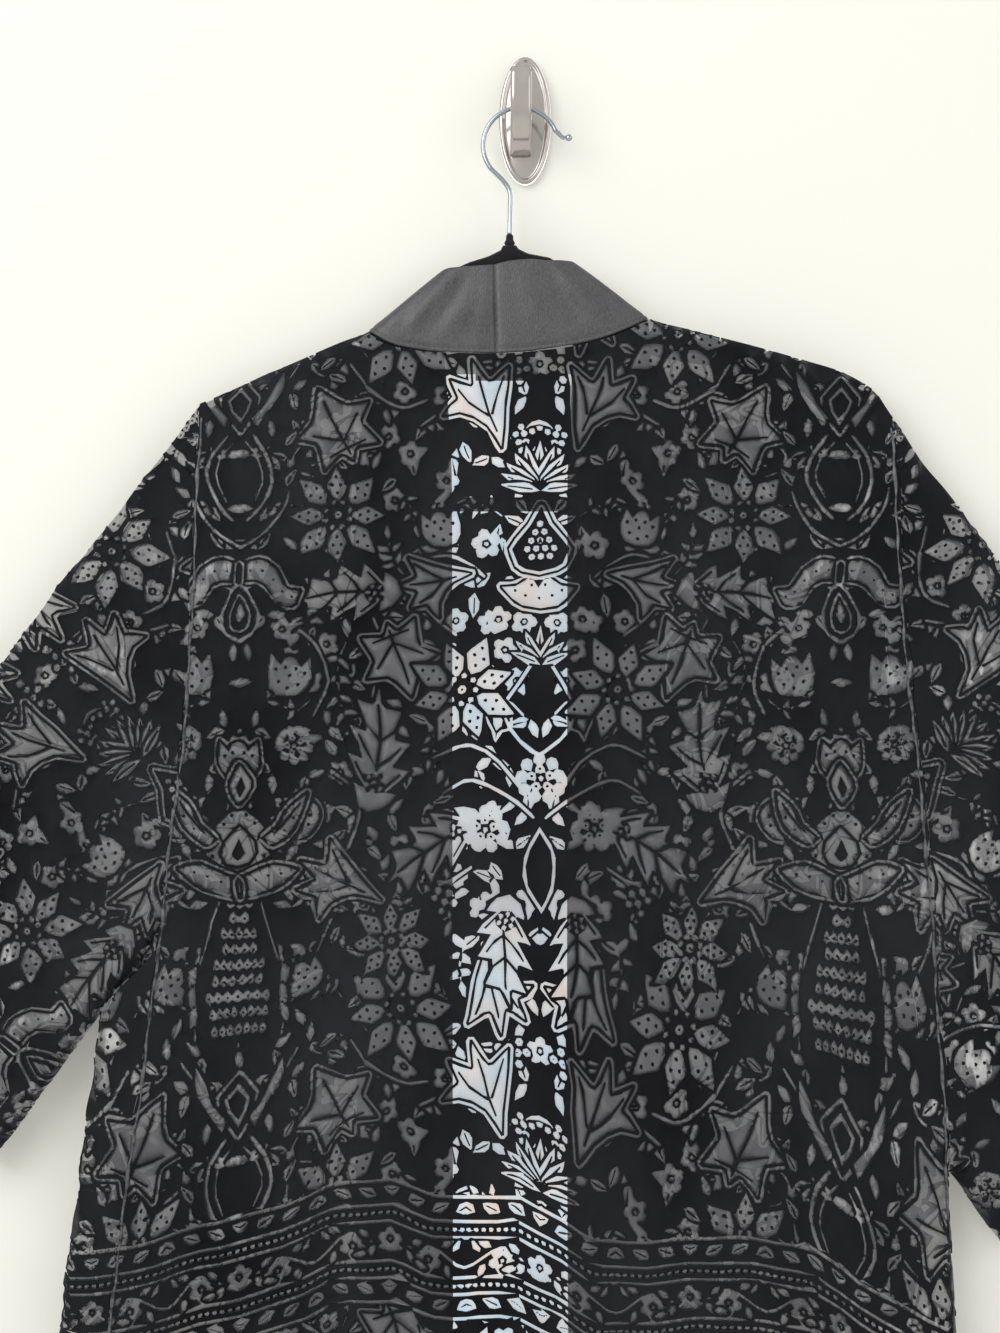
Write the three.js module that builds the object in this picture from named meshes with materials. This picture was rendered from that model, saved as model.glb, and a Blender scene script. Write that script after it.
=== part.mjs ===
// A burnt-out velvet kimono robe with a satin neckband, on a flocked hanger and an adhesive wall hook.
// Millimetres. +X right and +Z up on the robe's back, which faces -Y. The wall is the plane y = 0, and the
// origin is the middle of the wall hook's plate. Every cloth piece is a wall between an outer and an inner
// grid of points, worked out from the tables of sizes below.
import * as THREE from "three";
import { mergeVertices } from "three/addons/utils/BufferGeometryUtils.js";

// ---------------------------------------------------------------------------------------------
// Driving sizes
// ---------------------------------------------------------------------------------------------
const VELVET_WALL = 1.5; // velvet ground with its pile
const SATIN_WALL = 2.4; // neckband, satin folded double
const SEAM_GAP = 0.3; // between two pieces that are sewn together
const HANGING_PLANE = -22; // y of the hanger and of the shoulder seams
const HEM = -1190; // z of the hem, 1050 below the neck points
const CREST_RADIUS = 7; // how tightly the shoulders bend over the hanger
const SIDE_RADIUS = 9; // how tightly the side folds turn
const LEFT_ARMPIT = -562;
const RIGHT_ARMPIT = -659;
const UNDERARM_RISE = 43; // the left armhole slants up by this much from the side fold to the back seam

const LABEL = { left: -31, right: 8, top: -154, bottom: -168, wall: 1 };
const HANGER = { thickness: 6, bevel: 1, barTop: -240.2, barBottom: -248.8 };
const NECK_SLEEVE = { x: -9.8, radius: 2.3, bottom: -82.6, top: -76.3 };
const HOOK = { wire: 1.45, centreX: -2.8, centreZ: -20.5, radius: 23.6, stemX: -9.3, stemTop: -52 };
const PLATE = { halfWidth: 16.4, halfHeight: 40.3, thickness: 5, bevel: 1.2 };
const ARM = { width: 13, bevel: 0.8 };

const TWO_PLY = 2; // outer and inner grid of a wall

// Turns rows of numbers into rows with named columns.
function table(names, values) {
  const keys = names.split(" ");
  return values.map((row) => Object.fromEntries(keys.map((key, i) => [key, row[i]])));
}

// The outline of the hung cloth from neck to corner: z of the crest over the hanger at each x.
const SHOULDERS = table("x z", [
  [-202.4, -182.9],
  [-177, -171.1],
  [-139.8, -155],
  [-115, -144.2],
  [-97.7, -137.6],
  [-77.8, -121.6],
  [-51.8, -99.2],
  [30, -93.6],
  [49.3, -113.6],
  [77.2, -129.6],
  [108.2, -137.6],
  [157.8, -150.7],
  [195, -162.4],
  [215.5, -173.6],
  [227.9, -189.7],
]);

// Where the back neck edge is sewn to the neckband.
const NECK_SEAM = table("x z", [
  [-97.7, -137.6],
  [-88.4, -144.6],
  [-74.7, -148.1],
  [-57.4, -150.2],
  [-18.6, -151.2],
  [19.5, -148.2],
  [36.9, -145.1],
  [56, -139.6],
  [66, -135.4],
  [77.2, -129.6],
]);

// Side seams, side folds, and how far each layer stands from the hanging plane.
const BODY = table("z leftSeam leftFold rightSeam backHalf frontHalf", [
  [-137, -201.6, -240, 224, 7, 7],
  [-183, -202.4, -240, 227.5, 7, 7],
  [-230, -204.6, -240, 232, 7.6, 7.6],
  [-280, -206.8, -241, 233.4, 8.6, 8.6],
  [-356, -210.2, -247, 239.8, 10, 10],
  [-462, -221.7, -256, 250.2, 12, 11.6],
  [-562, -232.8, -265, 256.8, 14.4, 13],
  [-659, -245.8, -277, 262.4, 17, 14],
  [-756, -257.6, -289, 267.2, 19, 14.6],
  [-900, -268, -299, 280, 22, 15],
  [HEM, -288, -318, 310, 26, 15.6],
]);

// The front armholes, hidden behind the sleeves.
const LEFT_FRONT_ARMHOLE = table("z x", [
  [-183, -202.4],
  [-230, -205],
  [-330, -214],
  [-430, -226],
  [-520, -243],
  [-551, -256],
  [-562, -262],
]);
const RIGHT_FRONT_ARMHOLE = table("z x", [
  [-189, 227.9],
  [-280, 226],
  [-430, 232],
  [-560, 246],
  [-630, 258],
  [-659, 262.4],
]);

// Front edges, where the neckband is sewn on, and the neckband's free edges.
const FRONT_EDGES = table("z leftSeam leftFree rightFree rightSeam", [
  [-130, -97.7, -52, 30, 77.4],
  [-180, -101, -48.5, 28.6, 80.5],
  [-240, -105.2, -45.8, 26.4, 84.6],
  [-560, -106, -45.6, 26.4, 85.6],
  [-756, -107, -45.4, 27, 87],
  [HEM, -112, -49, 34, 95],
]);

// The neckband's way round the back of the neck, from the centre back to the crest: its sewn edge, its
// free edge, and how far each lies on the back layer, from -1 to 0 on the crest.
const LEFT_NECK = table("seamX seamZ freeX freeZ seamLie freeLie", [
  [-18.75, -151.2, -19.8, -95.8, -1, -1],
  [-34.4, -150.9, -28.2, -96.4, -1, -1],
  [-53, -150.1, -37, -97, -1, -1],
  [-71.6, -147.9, -43.7, -97.3, -1, -0.9],
  [-84.4, -144.6, -48, -97.4, -1, -0.7],
  [-93.6, -139.2, -50.4, -98, -0.93, -0.36],
  [-96.6, -136.9, -51.4, -98.6, -0.55, -0.15],
  [-97.7, -135.8, -51.8, -99.2, 0, 0],
]);
const RIGHT_NECK = table("seamX seamZ freeX freeZ seamLie freeLie", [
  [-18.45, -151.2, -19.5, -95.8, -1, -1],
  [-1, -150.2, -8, -93.2, -1, -1],
  [19.5, -147.4, 4, -92.4, -1, -1],
  [40, -143.7, 14, -92.9, -1, -0.9],
  [56, -138.7, 22, -92.6, -1, -0.7],
  [67, -133.8, 27, -92.6, -0.93, -0.36],
  [75, -129.2, 29.4, -93, -0.55, -0.15],
  [77.2, -127.8, 30.2, -94.4, 0, 0],
]);
// Its first stretch on the front layer, below the crest.
const NECK_DROPS = table("seamDrop freeDrop", [
  [2, 2],
  [5, 5],
  [12, 13],
  [27, 28],
  [60, 76],
]);

// Folds on the back: a soft ridge (lift above 0) or trough from head to foot.
const BACK_FOLDS = table("headX headZ footX footZ width lift", [
  [-150, -190, -60, -330, 26, 2],
  [170, -180, 80, -330, 26, 2],
  [-212, -260, -232, -640, 16, 3],
  [-180, -520, -205, HEM, 30, 5],
  [-118, -560, -128, HEM, 26, -4],
  [-66, -600, -62, HEM, 24, 5.5],
  [-20, -560, -12, HEM, 24, -4],
  [34, -540, 44, HEM, 30, 6],
  [96, -620, 110, HEM, 26, -4.5],
  [150, -560, 168, HEM, 30, 5],
  [206, -520, 232, HEM, 26, -4],
]);
const FRONT_FOLDS = table("headX headZ footX footZ width lift", [
  [-222, -600, -250, HEM, 26, 3.6],
  [-160, -480, -186, HEM, 26, -4],
  [150, -480, 176, HEM, 28, 3.6],
  [215, -600, 246, HEM, 26, -4],
]);
const LEFT_SLEEVE_FOLDS = table("headX headZ footX footZ width lift", [
  [-266, -330, -290, -450, 14, 4],
  [-288, -420, -310, -560, 14, 4.5],
  [-308, -520, -330, -640, 14, 4],
  [-232, -300, -300, -380, 20, 2.4],
  [-330, -430, -420, -560, 26, 3],
]);
const RIGHT_SLEEVE_FOLDS = table("headX headZ footX footZ width lift", [
  [250, -300, 290, -420, 20, 3],
  [262, -430, 300, -600, 18, 4],
  [330, -420, 380, -560, 26, 3],
]);

// Sleeves: the two corners of each cuff.
const LEFT_CUFF = { topX: -473, topZ: -530, underX: -337, underZ: -660, half: 12 };
const RIGHT_CUFF = { topX: 486, topZ: -541, underX: 305, underZ: -716, half: 12 };

// Levels of the cloth's rows: first by their drop below the crest, then by z.
const CREST_DROPS = [0, 0.6, 2, 4.4, 8, 18];
const LEVELS = [-230, -280, -330, -380, -430, -475, -519, -562, -594, -630, -659, -700, -756];
const HEM_ROWS = 7;

// ---------------------------------------------------------------------------------------------
// Helpers
// ---------------------------------------------------------------------------------------------
const mix = (a, b, t) => a + (b - a) * t;
const clamp01 = (t) => Math.min(1, Math.max(0, t));
const ease = (t) => clamp01(t) ** 2 * (3 - 2 * clamp01(t));
// A quarter circle: 0 at the edge of a fold, 1 where the cloth is flat again.
const roundOff = (t) => Math.sqrt(1 - (1 - clamp01(t)) ** 2);

// A smooth curve through a table's column `to` over its column `from`.
function curve(rows, from, to) {
  const sorted = [...rows].sort((a, b) => a[from] - b[from]);
  const slope = (i, j) => (sorted[j][to] - sorted[i][to]) / (sorted[j][from] - sorted[i][from]);
  const slopes = sorted.map((row, i) => {
    if (i === 0) return slope(0, 1);
    if (i === sorted.length - 1) return slope(i - 1, i);
    const before = slope(i - 1, i);
    const after = slope(i, i + 1);
    return before * after <= 0 ? 0 : (2 * before * after) / (before + after);
  });
  return (value) => {
    const last = sorted.length - 2;
    let i = sorted.findIndex((row, k) => k <= last && value <= sorted[k + 1][from]);
    if (i < 0) i = last;
    const a = sorted[i];
    const b = sorted[i + 1];
    const span = b[from] - a[from];
    const t = clamp01((value - a[from]) / span);
    const rise = b[to] - a[to];
    const c = 3 * rise - span * (2 * slopes[i] + slopes[i + 1]);
    const d = span * (slopes[i] + slopes[i + 1]) - 2 * rise;
    return a[to] + span * slopes[i] * t + c * t * t + d * t * t * t;
  };
}

const crest = curve(SHOULDERS, "x", "z");
const neckSeam = curve(NECK_SEAM, "x", "z");
const leftSeam = curve(BODY, "z", "leftSeam");
const leftFold = curve(BODY, "z", "leftFold");
const rightSeam = curve(BODY, "z", "rightSeam");
const backHalf = curve(BODY, "z", "backHalf");
const frontHalf = curve(BODY, "z", "frontHalf");
const leftFrontArmhole = curve(LEFT_FRONT_ARMHOLE, "z", "x");
const rightFrontArmhole = curve(RIGHT_FRONT_ARMHOLE, "z", "x");
const leftEdge = curve(FRONT_EDGES, "z", "leftSeam");
const rightEdge = curve(FRONT_EDGES, "z", "rightSeam");
const leftFree = curve(FRONT_EDGES, "z", "leftFree");
const rightFree = curve(FRONT_EDGES, "z", "rightFree");

const NECK_LEFT = NECK_SEAM[0].x;
const NECK_RIGHT = NECK_SEAM[NECK_SEAM.length - 1].x;
const CORNER_LEFT = SHOULDERS[0].x;
const CORNER_RIGHT = SHOULDERS[SHOULDERS.length - 1].x;

// How far the folds of a table move the cloth outwards at (x, z).
function foldLift(folds, x, z) {
  let lift = 0;
  for (const fold of folds) {
    const dx = fold.footX - fold.headX;
    const dz = fold.footZ - fold.headZ;
    const along = ((x - fold.headX) * dx + (z - fold.headZ) * dz) / (dx * dx + dz * dz);
    const away = Math.abs((x - fold.headX) * dz - (z - fold.headZ) * dx) / Math.hypot(dx, dz);
    if (away > fold.width) continue;
    const fadeHead = ease(along / 0.4);
    const fadeFoot = fold.footZ === HEM ? 1 : ease((1 - along) / 0.4);
    lift += fold.lift * fadeHead * fadeFoot * (0.5 + 0.5 * Math.cos((Math.PI * away) / fold.width));
  }
  return lift;
}

// 0 where the armhole is open, 1 where the side is closed below the right armpit.
const closing = (z) => ease((RIGHT_ARMPIT + 30 - z) / 30);

// The share of its full depth that a layer has at (x, z): it sinks at the crest and at the right side.
function swell(x, z, inset) {
  const overHanger = roundOff((crest(x) - inset - z) / (CREST_RADIUS - inset));
  const side = roundOff((rightSeam(z) - inset - x) / (SIDE_RADIUS - inset));
  return overHanger * mix(1, side, closing(z));
}

// Folds fade out where pieces are sewn together along the shoulders and sides.
function calm(x, z) {
  const fromCrest = ease((crest(x) - z) / 40);
  const fromSides = ease((x - leftSeam(z)) / 24) * ease((rightSeam(z) - x) / 24);
  return fromCrest * fromSides;
}

function backY(x, z, inset = 0) {
  const depth = (backHalf(z) - inset - SEAM_GAP / 2) * swell(x, z, inset);
  return HANGING_PLANE - SEAM_GAP / 2 - depth - foldLift(BACK_FOLDS, x, z) * calm(x, z);
}

function frontY(x, z, inset = 0) {
  const depth = (frontHalf(z) - inset - SEAM_GAP / 2) * swell(x, z, inset);
  const folds = foldLift(FRONT_FOLDS, x, z) * ease((crest(x) - z) / 40) * ease((rightSeam(z) - x) / 24);
  return HANGING_PLANE + SEAM_GAP / 2 + depth + folds;
}

// A closed wall from two grids, grid[ply][row][column] with ply 0 the outer face. `has` says which cells
// there are. `flip` is for grids whose rows and columns turn the other way round.
function wall(grid, { has = () => true, flip = false, round = false } = {}) {
  const rows = grid[0].length;
  const columns = grid[0][0].length;
  const points = [];
  const triangles = [];
  const index = (ply, row, column) => (ply * rows + row) * columns + (round ? column % columns : column);
  for (const ply of grid) for (const row of ply) for (const point of row) points.push(...point);
  const face = (a, b, c, d) => {
    if (flip) triangles.push(a, c, b, a, d, c);
    else triangles.push(a, b, c, a, c, d);
  };
  const cells = round ? columns : columns - 1;
  const present = (row, column) => {
    if (row < 0 || row >= rows - 1) return false;
    if (!round && (column < 0 || column >= cells)) return false;
    return has(row, (column + cells) % cells);
  };
  for (let r = 0; r < rows - 1; r++) {
    for (let c = 0; c < cells; c++) {
      if (!present(r, c)) continue;
      face(index(0, r, c), index(0, r + 1, c), index(0, r + 1, c + 1), index(0, r, c + 1));
      face(index(1, r, c), index(1, r, c + 1), index(1, r + 1, c + 1), index(1, r + 1, c));
      if (!present(r - 1, c)) face(index(0, r, c), index(0, r, c + 1), index(1, r, c + 1), index(1, r, c));
      if (!present(r + 1, c))
        face(index(0, r + 1, c + 1), index(0, r + 1, c), index(1, r + 1, c), index(1, r + 1, c + 1));
      if (!present(r, c - 1)) face(index(0, r + 1, c), index(0, r, c), index(1, r, c), index(1, r + 1, c));
      if (!present(r, c + 1))
        face(index(0, r, c + 1), index(0, r + 1, c + 1), index(1, r + 1, c + 1), index(1, r, c + 1));
    }
  }
  const geometry = new THREE.BufferGeometry();
  geometry.setAttribute("position", new THREE.Float32BufferAttribute(points, 3));
  geometry.setIndex(triangles);
  return mergeVertices(geometry, 1e-4);
}

// Two grids from a function of the row, the column and the inset of the ply.
function plies(rows, columns, thickness, pointAt) {
  return Array.from({ length: TWO_PLY }, (_, ply) =>
    Array.from({ length: rows }, (_, row) =>
      Array.from({ length: columns }, (_, column) => pointAt(row, column, ply * thickness)),
    ),
  );
}

const steps = (from, to, count) => Array.from({ length: count }, (_, i) => mix(from, to, i / count));

const hemLevels = steps(LEVELS[LEVELS.length - 1], HEM, HEM_ROWS).slice(1).concat(HEM);
const LEVELS_TO_HEM = LEVELS.concat(hemLevels);
const PANEL_ROWS = CREST_DROPS.length + LEVELS_TO_HEM.length;

// The z of a panel's row under a top edge at `top`.
function rowZ(row, top) {
  if (row < CREST_DROPS.length) return top - CREST_DROPS[row];
  return LEVELS_TO_HEM[row - CREST_DROPS.length];
}

const finish = (color, roughness, metalness = 0, extra = {}) =>
  new THREE.MeshStandardMaterial({ color, roughness, metalness, ...extra });
const velvet = () => finish(0x17181a, 0.85, 0, { side: THREE.DoubleSide });
const satin = finish(0x59575b, 0.42);
const flock = finish(0x0c0c0d, 0.95);
const chrome = finish(0xd4d6d8, 0.12, 1);
const nickel = finish(0x8f8a82, 0.3, 0.9);

const robe = new THREE.Group();
function add(name, geometry, material) {
  const mesh = new THREE.Mesh(geometry, material);
  mesh.name = name;
  robe.add(mesh);
  return mesh;
}

// ---------------------------------------------------------------------------------------------
// Back panel: one piece from shoulder to hem, cut out at the neck
// ---------------------------------------------------------------------------------------------
const shareOf = (x) => (x - CORNER_LEFT) / (CORNER_RIGHT - CORNER_LEFT);
const NECK_BENDS = [3.7, 9.5]; // the neck edge bends over the crest within this much of each neck point
const BACK_COLUMNS = [
  ...steps(0, shareOf(NECK_LEFT), 7),
  shareOf(NECK_LEFT),
  ...NECK_BENDS.map((bend) => shareOf(NECK_LEFT + bend)),
  ...steps(shareOf(NECK_LEFT + 19), shareOf(NECK_RIGHT - 9.5), 9),
  ...NECK_BENDS.map((bend) => shareOf(NECK_RIGHT - bend)).reverse(),
  ...steps(shareOf(NECK_RIGHT), 0.965, 9),
  0.965,
  0.98,
  0.99,
  0.996,
  0.999,
  1,
];

function backPoint(row, column, inset) {
  const share = BACK_COLUMNS[column];
  const cornerX = mix(CORNER_LEFT, CORNER_RIGHT, share);
  const atNeck = cornerX > NECK_LEFT && cornerX < NECK_RIGHT;
  const top = atNeck ? neckSeam(cornerX) - SEAM_GAP * 1.4 : crest(cornerX) - inset;
  const z = rowZ(row, top);
  const left = leftSeam(z) + SEAM_GAP / 2;
  const right = rightSeam(z) - inset * closing(z);
  const x = row < CREST_DROPS.length ? mix(CORNER_LEFT, CORNER_RIGHT, share) : mix(left, right, share);
  return [x, backY(x, z, inset), z];
}

const back = plies(PANEL_ROWS, BACK_COLUMNS.length, VELVET_WALL, backPoint);
add("back_panel", wall(back), velvet());


// ---------------------------------------------------------------------------------------------
// Front panels: each from its armhole or side to the neckband, with the left one folded to the back
// ---------------------------------------------------------------------------------------------
const ARMPIT_ROW = CREST_DROPS.length + LEVELS.indexOf(LEFT_ARMPIT);
const FOLD_TURNS = [90, 45, 0, -45, -90]; // degrees round the left fold, from the back to the front
const WRAP_COLUMNS = 2; // on the back, before the fold
const FRONT_START = WRAP_COLUMNS + FOLD_TURNS.length - 1;
const FRONT_CELLS = 9;
const RISE_FADE = [1, 0.6, 0.25];

// A point on the left panel's wrap: on the back layer beside the seam, or round the left fold.
function wrapPoint(column, level, fade, inset) {
  const fold = leftFold(level);
  const seam = leftSeam(level);
  const riseAt = (x) => (fade * UNDERARM_RISE * (x - fold)) / (seam - fold);
  if (column < WRAP_COLUMNS) {
    const flatX = mix(seam, fold + SIDE_RADIUS, column / WRAP_COLUMNS);
    const z = level + riseAt(flatX);
    const x = column === 0 ? leftSeam(z) - SEAM_GAP / 2 : flatX;
    return [x, backY(x, z, inset), z];
  }
  const turn = THREE.MathUtils.degToRad(FOLD_TURNS[column - WRAP_COLUMNS]);
  const half = turn > 0 ? backHalf(level) : frontHalf(level);
  const outerX = fold + SIDE_RADIUS * (1 - Math.cos(turn));
  const x = fold + SIDE_RADIUS - (SIDE_RADIUS - inset) * Math.cos(turn);
  return [x, HANGING_PLANE - (half - inset) * Math.sin(turn), level + riseAt(outerX)];
}

function leftFrontPoint(row, column, inset) {
  const fade = RISE_FADE[row - ARMPIT_ROW] ?? 0;
  if (column <= FRONT_START && row >= ARMPIT_ROW) return wrapPoint(column, rowZ(row, 0), fade, inset);
  const share = Math.max(0, column - FRONT_START) / FRONT_CELLS;
  const cornerX = mix(CORNER_LEFT, NECK_LEFT, share);
  const startRise = fade * UNDERARM_RISE * 0.28 * Math.max(0, 1 - share * 5);
  const z = rowZ(row, crest(cornerX) - inset) + startRise;
  const start = row >= ARMPIT_ROW ? leftFold(z) + SIDE_RADIUS : leftFrontArmhole(z) + SEAM_GAP / 2;
  const x = mix(start, Math.min(NECK_LEFT, leftEdge(z)) - SEAM_GAP, share);
  return [x, frontY(x, z, inset), z];
}

const leftFront = plies(PANEL_ROWS, FRONT_START + FRONT_CELLS + 1, VELVET_WALL, leftFrontPoint);
const inLeftFront = (row, column) => column >= FRONT_START || row >= ARMPIT_ROW;
add("front_left", wall(leftFront, { has: inLeftFront, flip: true }), velvet());

const RIGHT_SHARES = [...steps(0, 0.93, 9), 0.93, 0.965, 0.985, 0.996, 1];
function rightFrontPoint(row, column, inset) {
  const share = RIGHT_SHARES[column];
  const cornerX = mix(NECK_RIGHT, CORNER_RIGHT, share);
  const z = rowZ(row, crest(cornerX) - inset);
  const side = z > RIGHT_ARMPIT ? rightFrontArmhole(z) : rightSeam(z);
  const end = side - inset * closing(z);
  const x = mix(Math.max(NECK_RIGHT, rightEdge(z)) + SEAM_GAP, end, share);
  return [x, frontY(x, z, inset), z];
}
const rightFront = plies(PANEL_ROWS, RIGHT_SHARES.length, VELVET_WALL, rightFrontPoint);
add("front_right", wall(rightFront, { flip: true }), velvet());

// ---------------------------------------------------------------------------------------------
// Sleeves: flat tubes from the armholes, open at the cuffs
// ---------------------------------------------------------------------------------------------
const SLEEVE_STEPS = [0, 0.07, 0.15, 0.24, 0.34, 0.45, 0.57, 0.69, 0.8, 0.91, 1];
const CUFF_RADIUS = 9;

// The rim of an armhole, from the crest down the back, round the underarm and up the front. Each entry
// holds the outer and the inner point, and which layer it is on: 1 back, -1 front, 0 where it turns.
function leftRim() {
  const rim = [];
  const side = (row, layer) => {
    const pair = [0, VELVET_WALL].map((inset) => {
      const z = rowZ(row, crest(CORNER_LEFT) - inset);
      const x = (layer > 0 ? leftSeam(z) : leftFrontArmhole(z)) - SEAM_GAP / 2;
      if (row === 0) return [x, HANGING_PLANE, z];
      return [x, layer > 0 ? backY(x, z, inset) : frontY(x, z, inset), z];
    });
    rim.push({ pair, layer: row === 0 ? 0 : layer });
  };
  for (let row = 0; row < ARMPIT_ROW; row++) side(row, 1);
  for (let column = 1; column <= FRONT_START; column++) {
    const [x, y, z] = wrapPoint(column, LEFT_ARMPIT, 1, 0);
    const turn = FOLD_TURNS[column - WRAP_COLUMNS] ?? 90;
    const inward = Math.sin(THREE.MathUtils.degToRad(turn));
    const upward = Math.cos(THREE.MathUtils.degToRad(turn));
    const outer = [x - SEAM_GAP * 0.6, y, z + SEAM_GAP];
    const inner = [
      outer[0] - VELVET_WALL * 0.8 * upward,
      outer[1] + VELVET_WALL * inward,
      outer[2] + VELVET_WALL * 0.6 * upward,
    ];
    rim.push({ pair: [outer, inner], layer: Math.sign(turn) });
  }
  for (let row = ARMPIT_ROW - 1; row > 0; row--) side(row, -1);
  return rim;
}

function rightRim() {
  const rim = [];
  const lowest = CREST_DROPS.length + LEVELS.indexOf(RIGHT_ARMPIT);
  const side = (row, layer) => {
    const pair = [0, VELVET_WALL].map((inset) => {
      const z = rowZ(row, crest(CORNER_RIGHT) - inset);
      const x = layer > 0 ? rightSeam(z) : rightFrontArmhole(z);
      if (row === 0) return [x + SEAM_GAP, HANGING_PLANE, z];
      return [x + SEAM_GAP, layer > 0 ? backY(x, z, inset) : frontY(x, z, inset), z];
    });
    rim.push({ pair, layer: row === 0 ? 0 : layer });
  };
  for (let row = 0; row < lowest; row++) side(row, 1);
  const x = rightSeam(RIGHT_ARMPIT) + SEAM_GAP;
  const z = RIGHT_ARMPIT + SEAM_GAP;
  const inner = [x + VELVET_WALL * 0.8, HANGING_PLANE, z + VELVET_WALL * 0.6];
  rim.push({ pair: [[x, HANGING_PLANE, z], inner], layer: 0 });
  for (let row = lowest - 1; row > 0; row--) side(row, -1);
  return rim;
}

// How far round from the crest to the underarm each rim point is, on either layer.
function rimShares(rim) {
  const gap = (a, b) => Math.hypot(...a.map((value, i) => value - b[i]));
  const way = [0];
  for (let i = 1; i < rim.length; i++) way.push(way[i - 1] + gap(rim[i].pair[0], rim[i - 1].pair[0]));
  const whole = way[way.length - 1] + gap(rim[0].pair[0], rim[rim.length - 1].pair[0]);
  const turns = rim.flatMap((entry, i) => (i > 0 && entry.layer === 0 ? [i] : []));
  const bottom = way[turns[0]];
  return way.map((length) => (length <= bottom ? length / bottom : (whole - length) / (whole - bottom)));
}

function sleeve(rim, cuff, folds) {
  const shares = rimShares(rim);
  const turn = rim.findIndex((entry, i) => i > 0 && entry.layer === 0);
  const cuffWidth = Math.hypot(cuff.underX - cuff.topX, cuff.underZ - cuff.topZ);
  return plies(SLEEVE_STEPS.length, rim.length, VELVET_WALL, (row, column, inset) => {
    const along = SLEEVE_STEPS[row];
    const share = shares[column];
    const layer = column <= turn ? -1 : 1;
    const across = (inset + share * (cuffWidth - 2 * inset)) / cuffWidth;
    const edge = Math.min(share, 1 - share) * cuffWidth;
    const depth = (cuff.half - inset) * roundOff(edge / (CUFF_RADIUS - inset));
    const atCuff = [
      mix(cuff.topX, cuff.underX, across),
      HANGING_PLANE + layer * depth,
      mix(cuff.topZ, cuff.underZ, across),
    ];
    const atRim = rim[column].pair[inset > 0 ? 1 : 0];
    const [x, y, z] = atRim.map((value, i) => mix(value, atCuff[i], along));
    const calmEdges = ease(share * 7) * ease((1 - share) * 7) * ease(along * 6);
    const lift = layer < 0 ? foldLift(folds, x, z) * calmEdges : 0;
    return [x, y - lift, z];
  });
}

const leftSleeve = sleeve(leftRim(), LEFT_CUFF, LEFT_SLEEVE_FOLDS);
add("sleeve_left", wall(leftSleeve, { round: true }), velvet());
const rightSleeve = sleeve(rightRim(), RIGHT_CUFF, RIGHT_SLEEVE_FOLDS);
add("sleeve_right", wall(rightSleeve, { round: true, flip: true }), velvet());

// ---------------------------------------------------------------------------------------------
// Neckband: a left and a right half, joined at the centre back, that run down the fronts to the hem
// ---------------------------------------------------------------------------------------------
const BAND_SHARES = [0, 0.3, 0.7, 1];

function neckband(neck, edgeAt, freeAt, side) {
  const shoulder = neck[neck.length - 1];
  const slope = Math.hypot(shoulder.freeX - shoulder.seamX, shoulder.freeZ - shoulder.seamZ);
  // Across the crest the wall's inner face lies below and inside the outer one.
  const inwardX = (side * (shoulder.freeZ - shoulder.seamZ)) / slope;
  const inwardZ = -Math.abs(shoulder.freeX - shoulder.seamX) / slope;
  const stations = neck.map((row) => ({ ...row, half: CREST_RADIUS }));
  for (const { seamDrop, freeDrop } of NECK_DROPS) {
    const seamZ = shoulder.seamZ - seamDrop;
    const freeZ = shoulder.freeZ - freeDrop;
    stations.push({
      seamX: edgeAt(seamZ),
      seamZ,
      freeX: freeAt(freeZ),
      freeZ,
      seamLie: roundOff(seamDrop / CREST_RADIUS),
      freeLie: roundOff(freeDrop / CREST_RADIUS),
      half: frontHalf(seamZ),
    });
  }
  const columns = BAND_SHARES.length;
  return plies(stations.length + LEVELS_TO_HEM.length, columns, SATIN_WALL, (row, column, inset) => {
    const share = BAND_SHARES[column];
    if (row >= stations.length) {
      const z = LEVELS_TO_HEM[row - stations.length];
      const x = mix(edgeAt(z), freeAt(z), share);
      return [x, frontY(x, z) - inset, z];
    }
    const at = stations[row];
    const lie = mix(at.seamLie, at.freeLie, share);
    const over = Math.sqrt(1 - lie * lie) * inset;
    return [
      mix(at.seamX, at.freeX, share) + inwardX * over,
      HANGING_PLANE + lie * (at.half - inset),
      mix(at.seamZ, at.freeZ, share) + inwardZ * over,
    ];
  });
}

const leftBand = neckband(LEFT_NECK, leftEdge, leftFree, 1);
add("neckband_left", wall(leftBand, { flip: true }), satin);
const rightBand = neckband(RIGHT_NECK, rightEdge, rightFree, -1);
add("neckband_right", wall(rightBand), satin);

// ---------------------------------------------------------------------------------------------
// Label inside the back neck
// ---------------------------------------------------------------------------------------------
const LABEL_COLUMNS = 5;
const labelPlies = plies(2, LABEL_COLUMNS, LABEL.wall, (row, column, inset) => {
  const x = mix(LABEL.left, LABEL.right, column / (LABEL_COLUMNS - 1));
  const z = row === 0 ? LABEL.top : LABEL.bottom;
  return [x, backY(x, z, VELVET_WALL) + SEAM_GAP + inset, z];
});
add("neck_label", wall(labelPlies), finish(0x2b2b2e, 0.7));

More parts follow.
